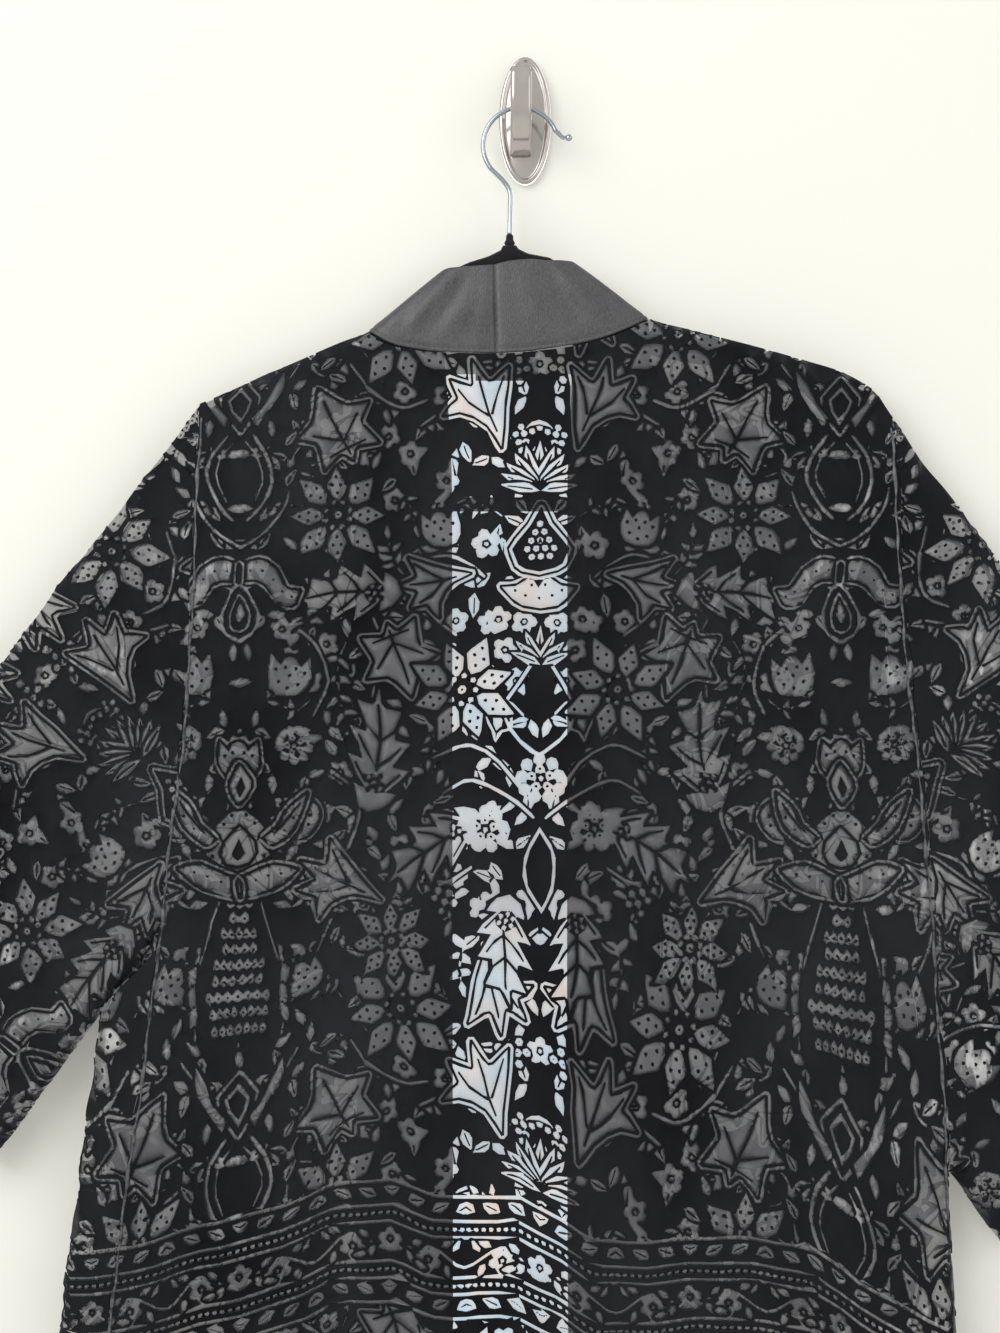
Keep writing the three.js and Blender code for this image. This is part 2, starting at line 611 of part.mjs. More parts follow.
// ---------------------------------------------------------------------------------------------
// Hanger: flat flocked body with a bar, neck sleeve, and a chrome wire hook with a ball end
// ---------------------------------------------------------------------------------------------
const HANGER_TOP = table("x z", [
  [-177, -173.3],
  [-139.8, -157.1],
  [-115, -147.4],
  [-97.7, -144.4],
  [-77.8, -130],
  [-54, -109.6],
  [-44.5, -99.2],
  [-40, -96],
  [-30, -92],
  [-17.6, -88.4],
  [-14.6, -84.4],
  [-12.9, -83],
  [-6.6, -83],
  [-4.9, -84.4],
  [-2, -87.6],
  [12, -90],
  [22, -94.6],
  [32, -106],
  [49.3, -124],
  [77.2, -138.8],
  [108.2, -140.6],
  [157.8, -152.9],
  [195, -164.8],
]);
const LEFT_END = [[-160, HANGER.barBottom], [-180, -243], [-194, -222], [-199, -200], [-197.4, -184.6]];
const RIGHT_END = [[211.5, -174.6], [217, -190], [212, -218], [198, -242], [178, HANGER.barBottom]];
const HOLE_TOP = table("x z", [
  [-176, -192],
  [-139.8, -172],
  [-97.7, -158.4],
  [-70, -139],
  [-44, -115],
  [-10, -103.4],
  [24, -111],
  [49.3, -137],
  [77.2, -152],
  [108.2, -156],
  [157.8, -168.4],
  [195, -184],
]);
const HOLE_LEFT = [[-160, HANGER.barTop], [-178, -230], [-184, -210]];
const HOLE_RIGHT = [[203, -202], [196, -228], [178, HANGER.barTop]];

const vector2 = ([x, y]) => new THREE.Vector2(x, y);
const fromTable = (rows) => rows.map(({ x, z }) => new THREE.Vector2(x, z));

// An outline in x and z, given a thickness in y about the plane `middle`.
function upright(shape, thickness, middle, bevel, segments = 4) {
  const geometry = new THREE.ExtrudeGeometry(shape, {
    depth: thickness - 2 * bevel,
    bevelEnabled: bevel > 0,
    bevelThickness: bevel,
    bevelSize: bevel,
    bevelOffset: -bevel,
    bevelSegments: 1,
    curveSegments: segments,
  });
  return geometry.rotateX(Math.PI / 2).translate(0, middle + thickness / 2 - bevel, 0);
}

const hangerOutline = new THREE.Shape();
hangerOutline.moveTo(...LEFT_END[0]);
hangerOutline.splineThru([...LEFT_END.slice(1).map(vector2), ...fromTable(HANGER_TOP), vector2(RIGHT_END[0])]);
hangerOutline.splineThru(RIGHT_END.slice(1).map(vector2));
hangerOutline.closePath();
// The hole runs the other way round from the outline.
const holePoints = [...HOLE_LEFT.map(vector2), ...fromTable(HOLE_TOP), ...HOLE_RIGHT.map(vector2)].reverse();
const hangerHole = new THREE.Path();
hangerHole.moveTo(holePoints[0].x, holePoints[0].y);
hangerHole.splineThru(holePoints.slice(1));
hangerHole.closePath();
hangerOutline.holes.push(hangerHole);
add("hanger_body", upright(hangerOutline, HANGER.thickness, HANGING_PLANE, HANGER.bevel, 1), flock);

const sleeveProfile = [
  [0, NECK_SLEEVE.bottom],
  [NECK_SLEEVE.radius, NECK_SLEEVE.bottom],
  [NECK_SLEEVE.radius, NECK_SLEEVE.top - 0.8],
  [NECK_SLEEVE.radius - 0.6, NECK_SLEEVE.top],
  [0, NECK_SLEEVE.top],
].map(vector2);
const neckSleeve = new THREE.LatheGeometry(sleeveProfile, 16).rotateX(Math.PI / 2);
add("hanger_neck", neckSleeve.translate(NECK_SLEEVE.x, HANGING_PLANE, 0), flock);

// The wire: a straight stem, a short bend to the left, the round hook, and a lip that turns out.
const HOOK_START = 223;
const HOOK_END = 23;
const HOOK_ARC_POINTS = 11;
const hookArc = Array.from({ length: HOOK_ARC_POINTS + 1 }, (_, i) => {
  const angle = THREE.MathUtils.degToRad(mix(HOOK_START, HOOK_END, i / HOOK_ARC_POINTS));
  return [HOOK.centreX + HOOK.radius * Math.cos(angle), HOOK.centreZ + HOOK.radius * Math.sin(angle)];
});
const LIP = [[21.6, -14.6], [24.6, -16]];
const stemFoot = NECK_SLEEVE.top + SEAM_GAP;
const wireWay = [
  [NECK_SLEEVE.x, stemFoot],
  [NECK_SLEEVE.x + 0.3, mix(stemFoot, HOOK.stemTop, 0.5)],
  [HOOK.stemX, HOOK.stemTop],
  [HOOK.stemX - 0.5, HOOK.stemTop + 5],
  [HOOK.stemX - 3.8, HOOK.stemTop + 9],
  ...hookArc,
  ...LIP,
];
const wirePath = new THREE.CatmullRomCurve3(wireWay.map(([x, z]) => new THREE.Vector3(x, HANGING_PLANE, z)));
const wireSection = new THREE.Shape().absarc(0, 0, HOOK.wire, 0, 2 * Math.PI);
const wire = new THREE.ExtrudeGeometry(wireSection, { steps: 46, curveSegments: 4, extrudePath: wirePath });
add("hanger_hook", wire, chrome);

const BALL_RADIUS = 2.3;
const ball = new THREE.SphereGeometry(BALL_RADIUS, 12, 8);
const lipEnd = LIP[LIP.length - 1];
add("hook_ball", ball.translate(lipEnd[0] + BALL_RADIUS + SEAM_GAP, HANGING_PLANE, lipEnd[1] + 0.2), chrome);

// ---------------------------------------------------------------------------------------------
// Wall hook: an oval plate on the wall and an arm that comes out of its foot and turns up
// ---------------------------------------------------------------------------------------------
const oval = new THREE.Shape().absellipse(0, 0, PLATE.halfWidth, PLATE.halfHeight, 0, 2 * Math.PI);
add("wall_hook_plate", upright(oval, PLATE.thickness, -PLATE.thickness / 2, PLATE.bevel, 40), nickel);

// The arm's side view: distance from the wall, and z. The wire rests in the hollow at the hanging plane.
const armRoot = PLATE.thickness + SEAM_GAP;
const armOutline = new THREE.Shape();
armOutline.moveTo(armRoot, -23.5);
const ARM_FRONT = [[14, -21], [24, -14], [30.5, -3], [33.4, 9], [33.6, 21], [32.4, 25.6], [30.4, 26.4], [29, 24.6]];
const ARM_HOLLOW = [[28.6, 17], [27.4, 8], [25, 1.8], [22, 0.3], [19, 1.8], [14, 3.6]];
armOutline.splineThru(ARM_FRONT.map(vector2));
armOutline.splineThru(ARM_HOLLOW.map(vector2));
armOutline.lineTo(armRoot, 2);
armOutline.closePath();
const arm = new THREE.ExtrudeGeometry(armOutline, {
  depth: ARM.width - 2 * ARM.bevel,
  bevelThickness: ARM.bevel,
  bevelSize: ARM.bevel,
  bevelOffset: -ARM.bevel,
  bevelSegments: 1,
  curveSegments: 3,
});
const sideways = new THREE.Matrix4().makeBasis(
  new THREE.Vector3(0, -1, 0),
  new THREE.Vector3(0, 0, 1),
  new THREE.Vector3(-1, 0, 0),
);
arm.applyMatrix4(sideways).translate(HOOK.centreX + ARM.width / 2 - ARM.bevel, 0, 0);
add("wall_hook_arm", arm, nickel);

export default robe;
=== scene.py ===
# %% [markdown]
# # A burnt-out velvet robe on its hanger
# A kimono robe hangs on a flat flocked hanger from an oval wall hook, with its back to the room.
# Its cloth is devore: a silky ground carries a dark pile, and a paste burns the pile away along a
# drawn pattern, so that the sheer ground shows there. In these cells each piece of cloth is laid out
# flat, cut along its pattern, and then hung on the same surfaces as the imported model.

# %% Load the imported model
import math

import bmesh
import bpy
import numpy as np
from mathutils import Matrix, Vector
from mathutils.geometry import delaunay_2d_cdt


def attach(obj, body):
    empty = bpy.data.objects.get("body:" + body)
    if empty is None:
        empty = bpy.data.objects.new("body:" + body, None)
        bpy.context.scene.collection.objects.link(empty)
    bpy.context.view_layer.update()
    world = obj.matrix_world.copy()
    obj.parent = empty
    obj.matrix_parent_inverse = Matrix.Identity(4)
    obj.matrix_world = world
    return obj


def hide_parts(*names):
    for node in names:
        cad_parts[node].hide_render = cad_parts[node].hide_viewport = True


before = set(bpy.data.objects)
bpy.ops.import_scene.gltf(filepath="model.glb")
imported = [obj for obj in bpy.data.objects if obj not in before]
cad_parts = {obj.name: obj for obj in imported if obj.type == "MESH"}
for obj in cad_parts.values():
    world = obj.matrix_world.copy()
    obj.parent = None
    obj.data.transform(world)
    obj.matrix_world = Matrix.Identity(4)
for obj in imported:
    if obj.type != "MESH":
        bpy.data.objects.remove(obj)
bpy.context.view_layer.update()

# %% [markdown]
# ## Sizes of the hung robe
# The tables say how the cloth hangs, in millimetres: +X is right, +Z is up, and the back of the robe
# faces -Y. A smooth curve runs through each table, which is how a pattern maker joins measured points
# with a French curve.

# %% Tables and curves
MM = 0.001
HANGING_PLANE = -22.0
HEM = -1190.0
SEAM_GAP = 0.3
CREST_RADIUS = 7.0
SIDE_RADIUS = 9.0
LEFT_ARMPIT = -562.0
RIGHT_ARMPIT = -659.0
UNDERARM_RISE = 43.0


def sizes(names, rows):
    """A table with named columns."""
    return dict(zip(names.split(), np.array(rows, float).T))


def curve(rows, over, of):
    """A smooth curve through one column of a table, over another."""
    order = np.argsort(rows[over])
    at = rows[over][order]
    to = rows[of][order]
    slope = np.diff(to) / np.diff(at)
    bend = np.empty(len(at))
    bend[0], bend[-1] = slope[0], slope[-1]
    product = slope[:-1] * slope[1:]
    total = np.where(slope[:-1] + slope[1:] == 0, 1, slope[:-1] + slope[1:])
    bend[1:-1] = np.where(product > 0, 2 * product / total, 0)

    def value(x):
        x = np.clip(x, at[0], at[-1])
        i = np.clip(np.searchsorted(at, x) - 1, 0, len(at) - 2)
        span = at[i + 1] - at[i]
        t = (x - at[i]) / span
        rise = to[i + 1] - to[i]
        c = 3 * rise - span * (2 * bend[i] + bend[i + 1])
        d = span * (bend[i] + bend[i + 1]) - 2 * rise
        return to[i] + span * bend[i] * t + c * t * t + d * t**3

    return value


SHOULDERS = sizes("x z", [
    [-202.4, -182.9], [-177, -171.1], [-139.8, -155], [-115, -144.2], [-97.7, -137.6],
    [-77.8, -121.6], [-51.8, -99.2], [30, -93.6], [49.3, -113.6], [77.2, -129.6],
    [108.2, -137.6], [157.8, -150.7], [195, -162.4], [215.5, -173.6], [227.9, -189.7],
])
NECK_SEAM = sizes("x z", [
    [-97.7, -137.6], [-88.4, -144.6], [-74.7, -148.1], [-57.4, -150.2], [-18.6, -151.2],
    [19.5, -148.2], [36.9, -145.1], [56, -139.6], [66, -135.4], [77.2, -129.6],
])
BODY = sizes("z left_seam left_fold right_seam back_half front_half", [
    [-137, -201.6, -240, 224, 7, 7],
    [-183, -202.4, -240, 227.5, 7, 7],
    [-230, -204.6, -240, 232, 7.6, 7.6],
    [-280, -206.8, -241, 233.4, 8.6, 8.6],
    [-356, -210.2, -247, 239.8, 10, 10],
    [-462, -221.7, -256, 250.2, 12, 11.6],
    [-562, -232.8, -265, 256.8, 14.4, 13],
    [-659, -245.8, -277, 262.4, 17, 14],
    [-756, -257.6, -289, 267.2, 19, 14.6],
    [-900, -268, -299, 280, 22, 15],
    [HEM, -288, -318, 310, 26, 15.6],
])
LEFT_ARMHOLE = sizes("z x", [
    [-183, -202.4], [-230, -205], [-330, -214], [-430, -226], [-520, -243], [-551, -256],
    [-562, -262],
])
RIGHT_ARMHOLE = sizes("z x", [
    [-189, 227.9], [-280, 226], [-430, 232], [-560, 246], [-630, 258], [-659, 262.4],
])
FRONT_EDGES = sizes("z left_seam left_free right_free right_seam", [
    [-130, -97.7, -52, 30, 77.4],
    [-180, -101, -48.5, 28.6, 80.5],
    [-240, -105.2, -45.8, 26.4, 84.6],
    [-560, -106, -45.6, 26.4, 85.6],
    [-756, -107, -45.4, 27, 87],
    [HEM, -112, -49, 34, 95],
])
crest = curve(SHOULDERS, "x", "z")
neck_seam = curve(NECK_SEAM, "x", "z")
left_seam, left_fold, right_seam, back_half, front_half = (
    curve(BODY, "z", column) for column in list(BODY)[1:]
)
left_armhole = curve(LEFT_ARMHOLE, "z", "x")
right_armhole = curve(RIGHT_ARMHOLE, "z", "x")
left_edge, left_free, right_free, right_edge = (
    curve(FRONT_EDGES, "z", column) for column in list(FRONT_EDGES)[1:]
)
CORNER_LEFT, CORNER_RIGHT = SHOULDERS["x"][0], SHOULDERS["x"][-1]
NECK_LEFT, NECK_RIGHT = NECK_SEAM["x"][0], NECK_SEAM["x"][-1]
print("back width at the chest", round(float(right_seam(-462) - left_seam(-462))), "mm")

# %% [markdown]
# ## How the cloth stands off the hanger
# Hung cloth is two layers that part a little below the shoulders and turn round at the side folds.
# Its largest folds run from the shoulder points and widen towards the hem. Each is one row: where its
# head and foot are, how wide it is, and how far it lifts the cloth. Finer creases are rows of the
# same kind, so one function serves both.

# %% Folds and creases
FOLD = "head_x head_z foot_x foot_z width lift"
BACK_FOLDS = sizes(FOLD, [
    [-150, -190, -60, -330, 26, 2],
    [170, -180, 80, -330, 26, 2],
    [-212, -260, -232, -640, 16, 3],
    [-180, -520, -205, HEM, 30, 5],
    [-118, -560, -128, HEM, 26, -4],
    [-66, -600, -62, HEM, 24, 5.5],
    [-20, -560, -12, HEM, 24, -4],
    [34, -540, 44, HEM, 30, 6],
    [96, -620, 110, HEM, 26, -4.5],
    [150, -560, 168, HEM, 30, 5],
    [206, -520, 232, HEM, 26, -4],
    [-196, -250, -150, -300, 9, 1.6],
    [-206, -300, -140, -342, 8, 1.4],
    [-204, -420, -178, -560, 9, 1.8],
    [-214, -560, -190, -760, 10, -1.8],
    [-176, -300, -150, -420, 10, 1.3],
    [176, -250, 120, -300, 9, 1.5],
    [214, -330, 170, -372, 8, 1.4],
    [226, -470, 206, -640, 10, 1.9],
    [244, -640, 226, -900, 11, 2.0],
    [188, -420, 180, -560, 9, -1.4],
    [-230, -720, -206, -960, 10, 1.8],
    [60, -700, 74, -900, 10, 1.2],
    [-90, -720, -92, -940, 10, 1.2],
    [130, -170, 160, -230, 8, 1.1],
    [-120, -176, -150, -240, 8, 1.1],
])
FRONT_FOLDS = sizes(FOLD, [
    [-222, -600, -250, HEM, 26, 3.6],
    [-160, -480, -186, HEM, 26, -4],
    [150, -480, 176, HEM, 28, 3.6],
    [215, -600, 246, HEM, 26, -4],
    [-200, -250, -150, -310, 9, 1.5],
    [-120, -180, -80, -250, 10, 1.3],
    [-198, -420, -170, -580, 10, 1.7],
    [-90, -560, -104, -860, 12, 1.8],
    [206, -260, 150, -320, 9, 1.5],
    [110, -180, 70, -260, 10, 1.3],
    [224, -440, 200, -600, 10, 1.7],
    [90, -560, 104, -880, 12, 1.8],
    [-140, -720, -150, -980, 10, -1.4],
    [150, -700, 158, -960, 10, -1.4],
])
LEFT_SLEEVE_FOLDS = sizes(FOLD, [
    [-266, -330, -290, -450, 14, 4],
    [-288, -420, -310, -560, 14, 4.5],
    [-308, -520, -330, -640, 14, 4],
    [-232, -300, -300, -380, 20, 2.4],
    [-330, -430, -420, -560, 26, 3],
    [-240, -250, -258, -330, 9, 1.8],
    [-262, -300, -284, -390, 8, 1.8],
    [-300, -400, -316, -480, 8, 1.6],
    [-276, -470, -300, -520, 8, 1.6],
    [-340, -520, -372, -610, 10, 1.8],
    [-300, -560, -330, -600, 8, 1.5],
    [-352, -470, -400, -520, 9, -1.5],
])
RIGHT_SLEEVE_FOLDS = sizes(FOLD, [
    [250, -300, 290, -420, 20, 3],
    [262, -430, 300, -600, 18, 4],
    [330, -420, 380, -560, 26, 3],
    [258, -260, 280, -330, 9, 1.8],
    [280, -330, 306, -420, 8, 1.7],
    [258, -470, 286, -560, 9, 1.8],
    [300, -450, 330, -540, 8, 1.6],
    [276, -600, 300, -700, 9, 1.8],
    [330, -600, 370, -700, 10, 1.8],
    [380, -560, 430, -660, 9, -1.5],
])


def ease(t):
    t = np.clip(t, 0, 1)
    return t * t * (3 - 2 * t)


def round_off(t):
    """A quarter circle: 0 at the edge of a fold, 1 where the cloth is flat again."""
    return np.sqrt(1 - (1 - np.clip(t, 0, 1)) ** 2)


def blend(a, b, t):
    return a + (b - a) * t


def fold_lift(folds, x, z):
    """How far a table of folds moves the cloth outwards at (x, z)."""
    lift = np.zeros_like(x)
    for hx, hz, fx, fz, width, height in zip(*folds.values()):
        dx, dz = fx - hx, fz - hz
        along = ((x - hx) * dx + (z - hz) * dz) / (dx * dx + dz * dz)
        away = np.abs((x - hx) * dz - (z - hz) * dx) / math.hypot(dx, dz)
        foot = 1 if fz == HEM else ease((1 - along) / 0.4)
        ridge = 0.5 + 0.5 * np.cos(np.pi * np.clip(away / width, 0, 1))
        lift = lift + height * ease(along / 0.4) * foot * ridge
    return lift


def swell(x, z):
    """The share of its full depth that a body layer has at (x, z)."""
    over_hanger = round_off((crest(x) - z) / CREST_RADIUS)
    side = round_off((right_seam(z) - x) / SIDE_RADIUS)
    return over_hanger * blend(1, side, ease((RIGHT_ARMPIT + 30 - z) / 30))


def back_y(x, z):
    depth = (back_half(z) - SEAM_GAP / 2) * swell(x, z)
    calm = ease((crest(x) - z) / 40) * ease((x - left_seam(z)) / 24) * ease((right_seam(z) - x) / 24)
    return HANGING_PLANE - SEAM_GAP / 2 - depth - fold_lift(BACK_FOLDS, x, z) * calm


def front_y(x, z):
    depth = (front_half(z) - SEAM_GAP / 2) * swell(x, z)
    calm = ease((crest(x) - z) / 40) * ease((right_seam(z) - x) / 24)
    return HANGING_PLANE + SEAM_GAP / 2 + depth + fold_lift(FRONT_FOLDS, x, z) * calm


def side_turn(x, z):
    """0 at the left side fold, 1 where the cloth lies flat beside it."""
    return round_off((x - left_fold(z)) / SIDE_RADIUS)


def left_front_y(x, z):
    below = ease((LEFT_ARMPIT + 20 - z) / 20)
    flat = front_y(x, z)
    return blend(flat, HANGING_PLANE + (flat - HANGING_PLANE) * side_turn(x, z), below)


def wrap_y(x, z):
    return HANGING_PLANE - back_half(z) * side_turn(x, z)


print("back stands", round(float(-back_y(0.0, -900.0)), 1), "mm off the wall")

# %% [markdown]
# ## Sleeves as flat tubes
# A kimono sleeve is a rectangle folded along its top edge. Hung up, it is two layers that touch along
# that top edge and along the underarm. Each point knows how far it is from the armhole, the cuff, the
# top edge and the underarm edge, and its depth follows from those four distances.

# %% Sleeve surfaces
LEFT_CUFF = {"top": (-473.0, -530.0), "under": (-337.0, -660.0), "half": 12.0}
RIGHT_CUFF = {"top": (486.0, -541.0), "under": (305.0, -716.0), "half": 12.0}
CUFF_RADIUS = 9.0


def sleeve(cuff, corner_x, side, armpit_z, folds):
    """What a sleeve's surface is worked out from."""
    corner = (corner_x, float(crest(corner_x)))
    return {"cuff": cuff, "corner": corner, "armpit": (float(side(armpit_z)), armpit_z), "folds": folds}


LEFT_SLEEVE = sleeve(LEFT_CUFF, CORNER_LEFT, left_fold, LEFT_ARMPIT, LEFT_SLEEVE_FOLDS)
RIGHT_SLEEVE = sleeve(RIGHT_CUFF, CORNER_RIGHT, right_seam, RIGHT_ARMPIT, RIGHT_SLEEVE_FOLDS)


def off_line(x, z, a, b):
    """Distance of (x, z) from the line through a and b."""
    dx, dz = b[0] - a[0], b[1] - a[1]
    return np.abs((x - a[0]) * dz - (z - a[1]) * dx) / math.hypot(dx, dz)


def sleeve_y(sizes_of, layer):
    """The surface of one layer of a sleeve: layer is -1 for the back one and 1 for the front one."""
    cuff, corner, armpit, folds = sizes_of.values()

    def height(x, z):
        from_rim = off_line(x, z, corner, armpit)
        from_cuff = off_line(x, z, cuff["top"], cuff["under"])
        along = from_rim / (from_rim + from_cuff)
        from_top = off_line(x, z, corner, cuff["top"])
        from_under = off_line(x, z, armpit, cuff["under"])
        radius = blend(CREST_RADIUS, CUFF_RADIUS, along)
        turn = round_off(from_top / radius) * round_off(from_under / radius)
        at_rim = back_half(z) if layer < 0 else front_half(z)
        depth = blend(at_rim, cuff["half"], ease(along)) * turn
        calm = ease(from_top / 30) * ease(from_under / 30) * ease(along * 6)
        lift = fold_lift(folds, x, z) * calm if layer < 0 else 0
        return HANGING_PLANE + layer * (depth + lift)

    return height


print("left sleeve from", LEFT_SLEEVE["corner"][0], "to", LEFT_CUFF["top"][0], "mm")

# %% [markdown]
# ## Cutting out the pieces
# Each piece is an outline in x and z. The outline follows the same curves as the seams, so that
# neighbouring pieces meet along them.

# %% Outlines of the pieces
STEP = 4.0
TUCK = 1.2


def down(side, top, bottom, offset=0.0):
    """Points along a seam from its top to its bottom."""
    z = np.linspace(top, bottom, max(2, round(abs(top - bottom) / STEP)))
    return np.column_stack([side(z) + offset, z])


def across(edge, start, end, offset=0.0):
    """Points along a shoulder or neck edge."""
    x = np.linspace(start, end, max(2, round(abs(end - start) / STEP)))
    return np.column_stack([x, edge(x) + offset])


def join(*runs):
    """One closed outline from runs of points, without points that lie on each other."""
    points = np.concatenate(runs)
    gap = np.hypot(*(points - np.roll(points, 1, axis=0)).T)
    return points[gap > 0.05]


def line(a, b):
    count = max(2, round(math.dist(a, b) / STEP))
    return np.linspace(a, b, count)


corner_z = {"left": float(crest(CORNER_LEFT)), "right": float(crest(CORNER_RIGHT))}
left_under = (float(left_seam(LEFT_ARMPIT + UNDERARM_RISE)), LEFT_ARMPIT + UNDERARM_RISE)
BACK_OUTLINE = join(
    across(crest, CORNER_LEFT, NECK_LEFT),
    across(neck_seam, NECK_LEFT, NECK_RIGHT, -SEAM_GAP),
    across(crest, NECK_RIGHT, CORNER_RIGHT),
    down(right_seam, corner_z["right"], HEM),
    line((float(right_seam(HEM)), HEM), (float(left_seam(HEM)), HEM)),
    down(left_seam, corner_z["left"], HEM, SEAM_GAP / 2)[::-1],
)
RIGHT_FRONT_OUTLINE = join(
    across(crest, NECK_RIGHT - TUCK, CORNER_RIGHT),
    down(right_armhole, corner_z["right"], RIGHT_ARMPIT),
    down(right_seam, RIGHT_ARMPIT, HEM),
    line((float(right_seam(HEM)), HEM), (float(right_edge(HEM)), HEM)),
    down(right_edge, -130.0, HEM, -TUCK)[::-1],
)
LEFT_FRONT_OUTLINE = join(
    across(crest, CORNER_LEFT, NECK_LEFT + TUCK),
    down(left_edge, -138.0, HEM, TUCK),
    line((float(left_edge(HEM)), HEM), (float(left_fold(HEM)), HEM)),
    down(left_fold, LEFT_ARMPIT, HEM)[::-1],
    down(left_armhole, corner_z["left"], LEFT_ARMPIT)[::-1],
)
LEFT_WRAP_OUTLINE = join(
    line((float(left_fold(LEFT_ARMPIT)), LEFT_ARMPIT), left_under),
    down(left_seam, left_under[1], HEM, -SEAM_GAP / 2),
    line((float(left_seam(HEM)), HEM), (float(left_fold(HEM)), HEM)),
    down(left_fold, LEFT_ARMPIT, HEM)[::-1],
)


def sleeve_outline(sizes_of, *armhole):
    """Down the armhole, along the underarm to the cuff, up the cuff and back along the top edge."""
    cuff, corner, armpit, _ = sizes_of.values()
    corners = (armpit, cuff["under"], cuff["top"], corner)
    return join(*armhole, *[line(a, b) for a, b in zip(corners, corners[1:])])


LEFT_SLEEVE_BACK = sleeve_outline(
    LEFT_SLEEVE,
    down(left_seam, corner_z["left"], left_under[1], -SEAM_GAP / 2),
    line(left_under, LEFT_SLEEVE["armpit"]),
)
LEFT_SLEEVE_FRONT = sleeve_outline(
    LEFT_SLEEVE, down(left_armhole, corner_z["left"], LEFT_ARMPIT, -SEAM_GAP)
)
RIGHT_SLEEVE_BACK, RIGHT_SLEEVE_FRONT = (
    sleeve_outline(RIGHT_SLEEVE, down(side, corner_z["right"], RIGHT_ARMPIT, SEAM_GAP))
    for side in (right_seam, right_armhole)
)
print("back outline", len(BACK_OUTLINE), "points")

# %% [markdown]
# ## Shader maths
# A material is a small sum of nodes. `Strand` wraps a node's output, so that `mask * 0.5` adds a Math
# node, and `Recipe.node` makes any other node from its type, its settings and what goes into its sockets.

# %% Materials as expressions


class Strand:
    """A node's output that can be used in a sum."""

    def __init__(self, recipe, socket):
        self.recipe = recipe
        self.socket = socket

    def _math(self, operation, *terms):
        return self.recipe.node("ShaderNodeMath", {"operation": operation}, dict(enumerate(terms)))

    def __add__(self, other):
        return self._math("ADD", self, other)

    __radd__ = __add__

    def __sub__(self, other):
        return self._math("SUBTRACT", self, other)

    def __rsub__(self, other):
        return self._math("SUBTRACT", other, self)

    def __mul__(self, other):
        return self._math("MULTIPLY", self, other)

    __rmul__ = __mul__

    def sine(self):
        return self._math("SINE", self)

    def size(self):
        return self._math("ABSOLUTE", self)

    def clamped(self):
        return self.recipe.node("ShaderNodeClamp", {}, {0: self})


class Recipe:
    """A material and the nodes that make it."""

    def __init__(self, name):
        self.material = bpy.data.materials.new(name)
        self.material.use_nodes = True
        self.nodes = self.material.node_tree.nodes
        self.links = self.material.node_tree.links
        self.nodes.clear()
        self.out = self.nodes.new("ShaderNodeOutputMaterial")

    def feed(self, socket, value):
        if isinstance(value, Strand):
            self.links.new(value.socket, socket)
        else:
            socket.default_value = value

    def node(self, kind, settings=None, inputs=None, output=0):
        made = self.nodes.new(kind)
        for name, value in (settings or {}).items():
            setattr(made, name, value)
        for key, value in (inputs or {}).items():
            self.feed(made.inputs[key], value)
        return Strand(self, made.outputs[output])

    def mix(self, factor, a, b):
        """A colour between a and b."""
        settings = {"data_type": "RGBA"}
        return self.node("ShaderNodeMix", settings, {0: factor, 6: a, 7: b}, output=2)

    def relief(self, height, strength, distance):
        """A bump for Normal, whose distance is in metres."""
        inputs = {"Strength": strength, "Distance": distance, "Height": height}
        return self.node("ShaderNodeBump", {}, inputs)

    def finish(self, shader):
        self.links.new(shader.socket, self.out.inputs["Surface"])
        return self.material

    def surface(self, **inputs):
        """The finished material. Its inputs are the main shader's, with _ for each space."""
        sockets = {name.replace("_", " "): value for name, value in inputs.items()}
        return self.finish(self.node("ShaderNodeBsdfPrincipled", {}, sockets))


def colour(red, green, blue):
    return (red, green, blue, 1.0)


def plain(name, shade, roughness):
    return Recipe(name).surface(Base_Color=colour(*shade), Roughness=roughness)


print("a strand can be added, subtracted, multiplied, clamped and put through a sine")

# %% [markdown]
# ## Velvet pile and its sheer ground
# Rayon pile is nearly black from above, and brightens only where its fibres are seen from the side, so
# it is a rough dark surface with a sheen. Wear and handling press the pile unevenly, which a soft
# noise in the colour and a finer one in the bump give. The burnt-out ground is a thin, smooth
# georgette: it lets most of the light through, and its threads catch the rest. Its faint warm and cool
# tints are painted colours of light split by the weave, and towards the sides its colour carries
# painted glints, bright specks that stand for light caught on sharp folds.

# %% Cloth finishes
WEAVE = 0.0009
NEAR_BLACK = colour(0.0028, 0.003, 0.0038)
WORN_BLACK = colour(0.014, 0.0146, 0.0168)


def object_point(recipe):
    return recipe.node("ShaderNodeTexCoord", output="Object")


def noise(recipe, scale, detail=3.0, stretch=(1.0, 1.0, 1.0)):
    point = recipe.node("ShaderNodeMapping", {}, {0: object_point(recipe), "Scale": stretch})
    settings = {"noise_dimensions": "3D"}
    return recipe.node("ShaderNodeTexNoise", settings, {"Vector": point, "Scale": scale, "Detail": detail})


def threads(recipe, spacing, axis):
    """Fine ribs across one axis, from 0 to 1."""
    point = recipe.node("ShaderNodeSeparateXYZ", {}, {0: object_point(recipe)}, output=axis)
    return (point * (2 * math.pi / spacing)).sine() * 0.5 + 0.5


def velvet_pile():
    recipe = Recipe("velvet pile")
    pressed = noise(recipe, 13.0, 5.0, (1.0, 1.0, 0.5))
    fibres = noise(recipe, 2600.0, 2.0)
    return recipe.surface(
        Base_Color=recipe.mix(pressed * 2.4 - 0.7, NEAR_BLACK, WORN_BLACK),
        Roughness=0.85,
        Normal=recipe.relief(fibres, 0.5, 0.0004),
        Specular_IOR_Level=0.12,
        Sheen_Weight=0.14,
        Sheen_Roughness=0.35,
        Sheen_Tint=colour(0.6, 0.62, 0.68),
    )


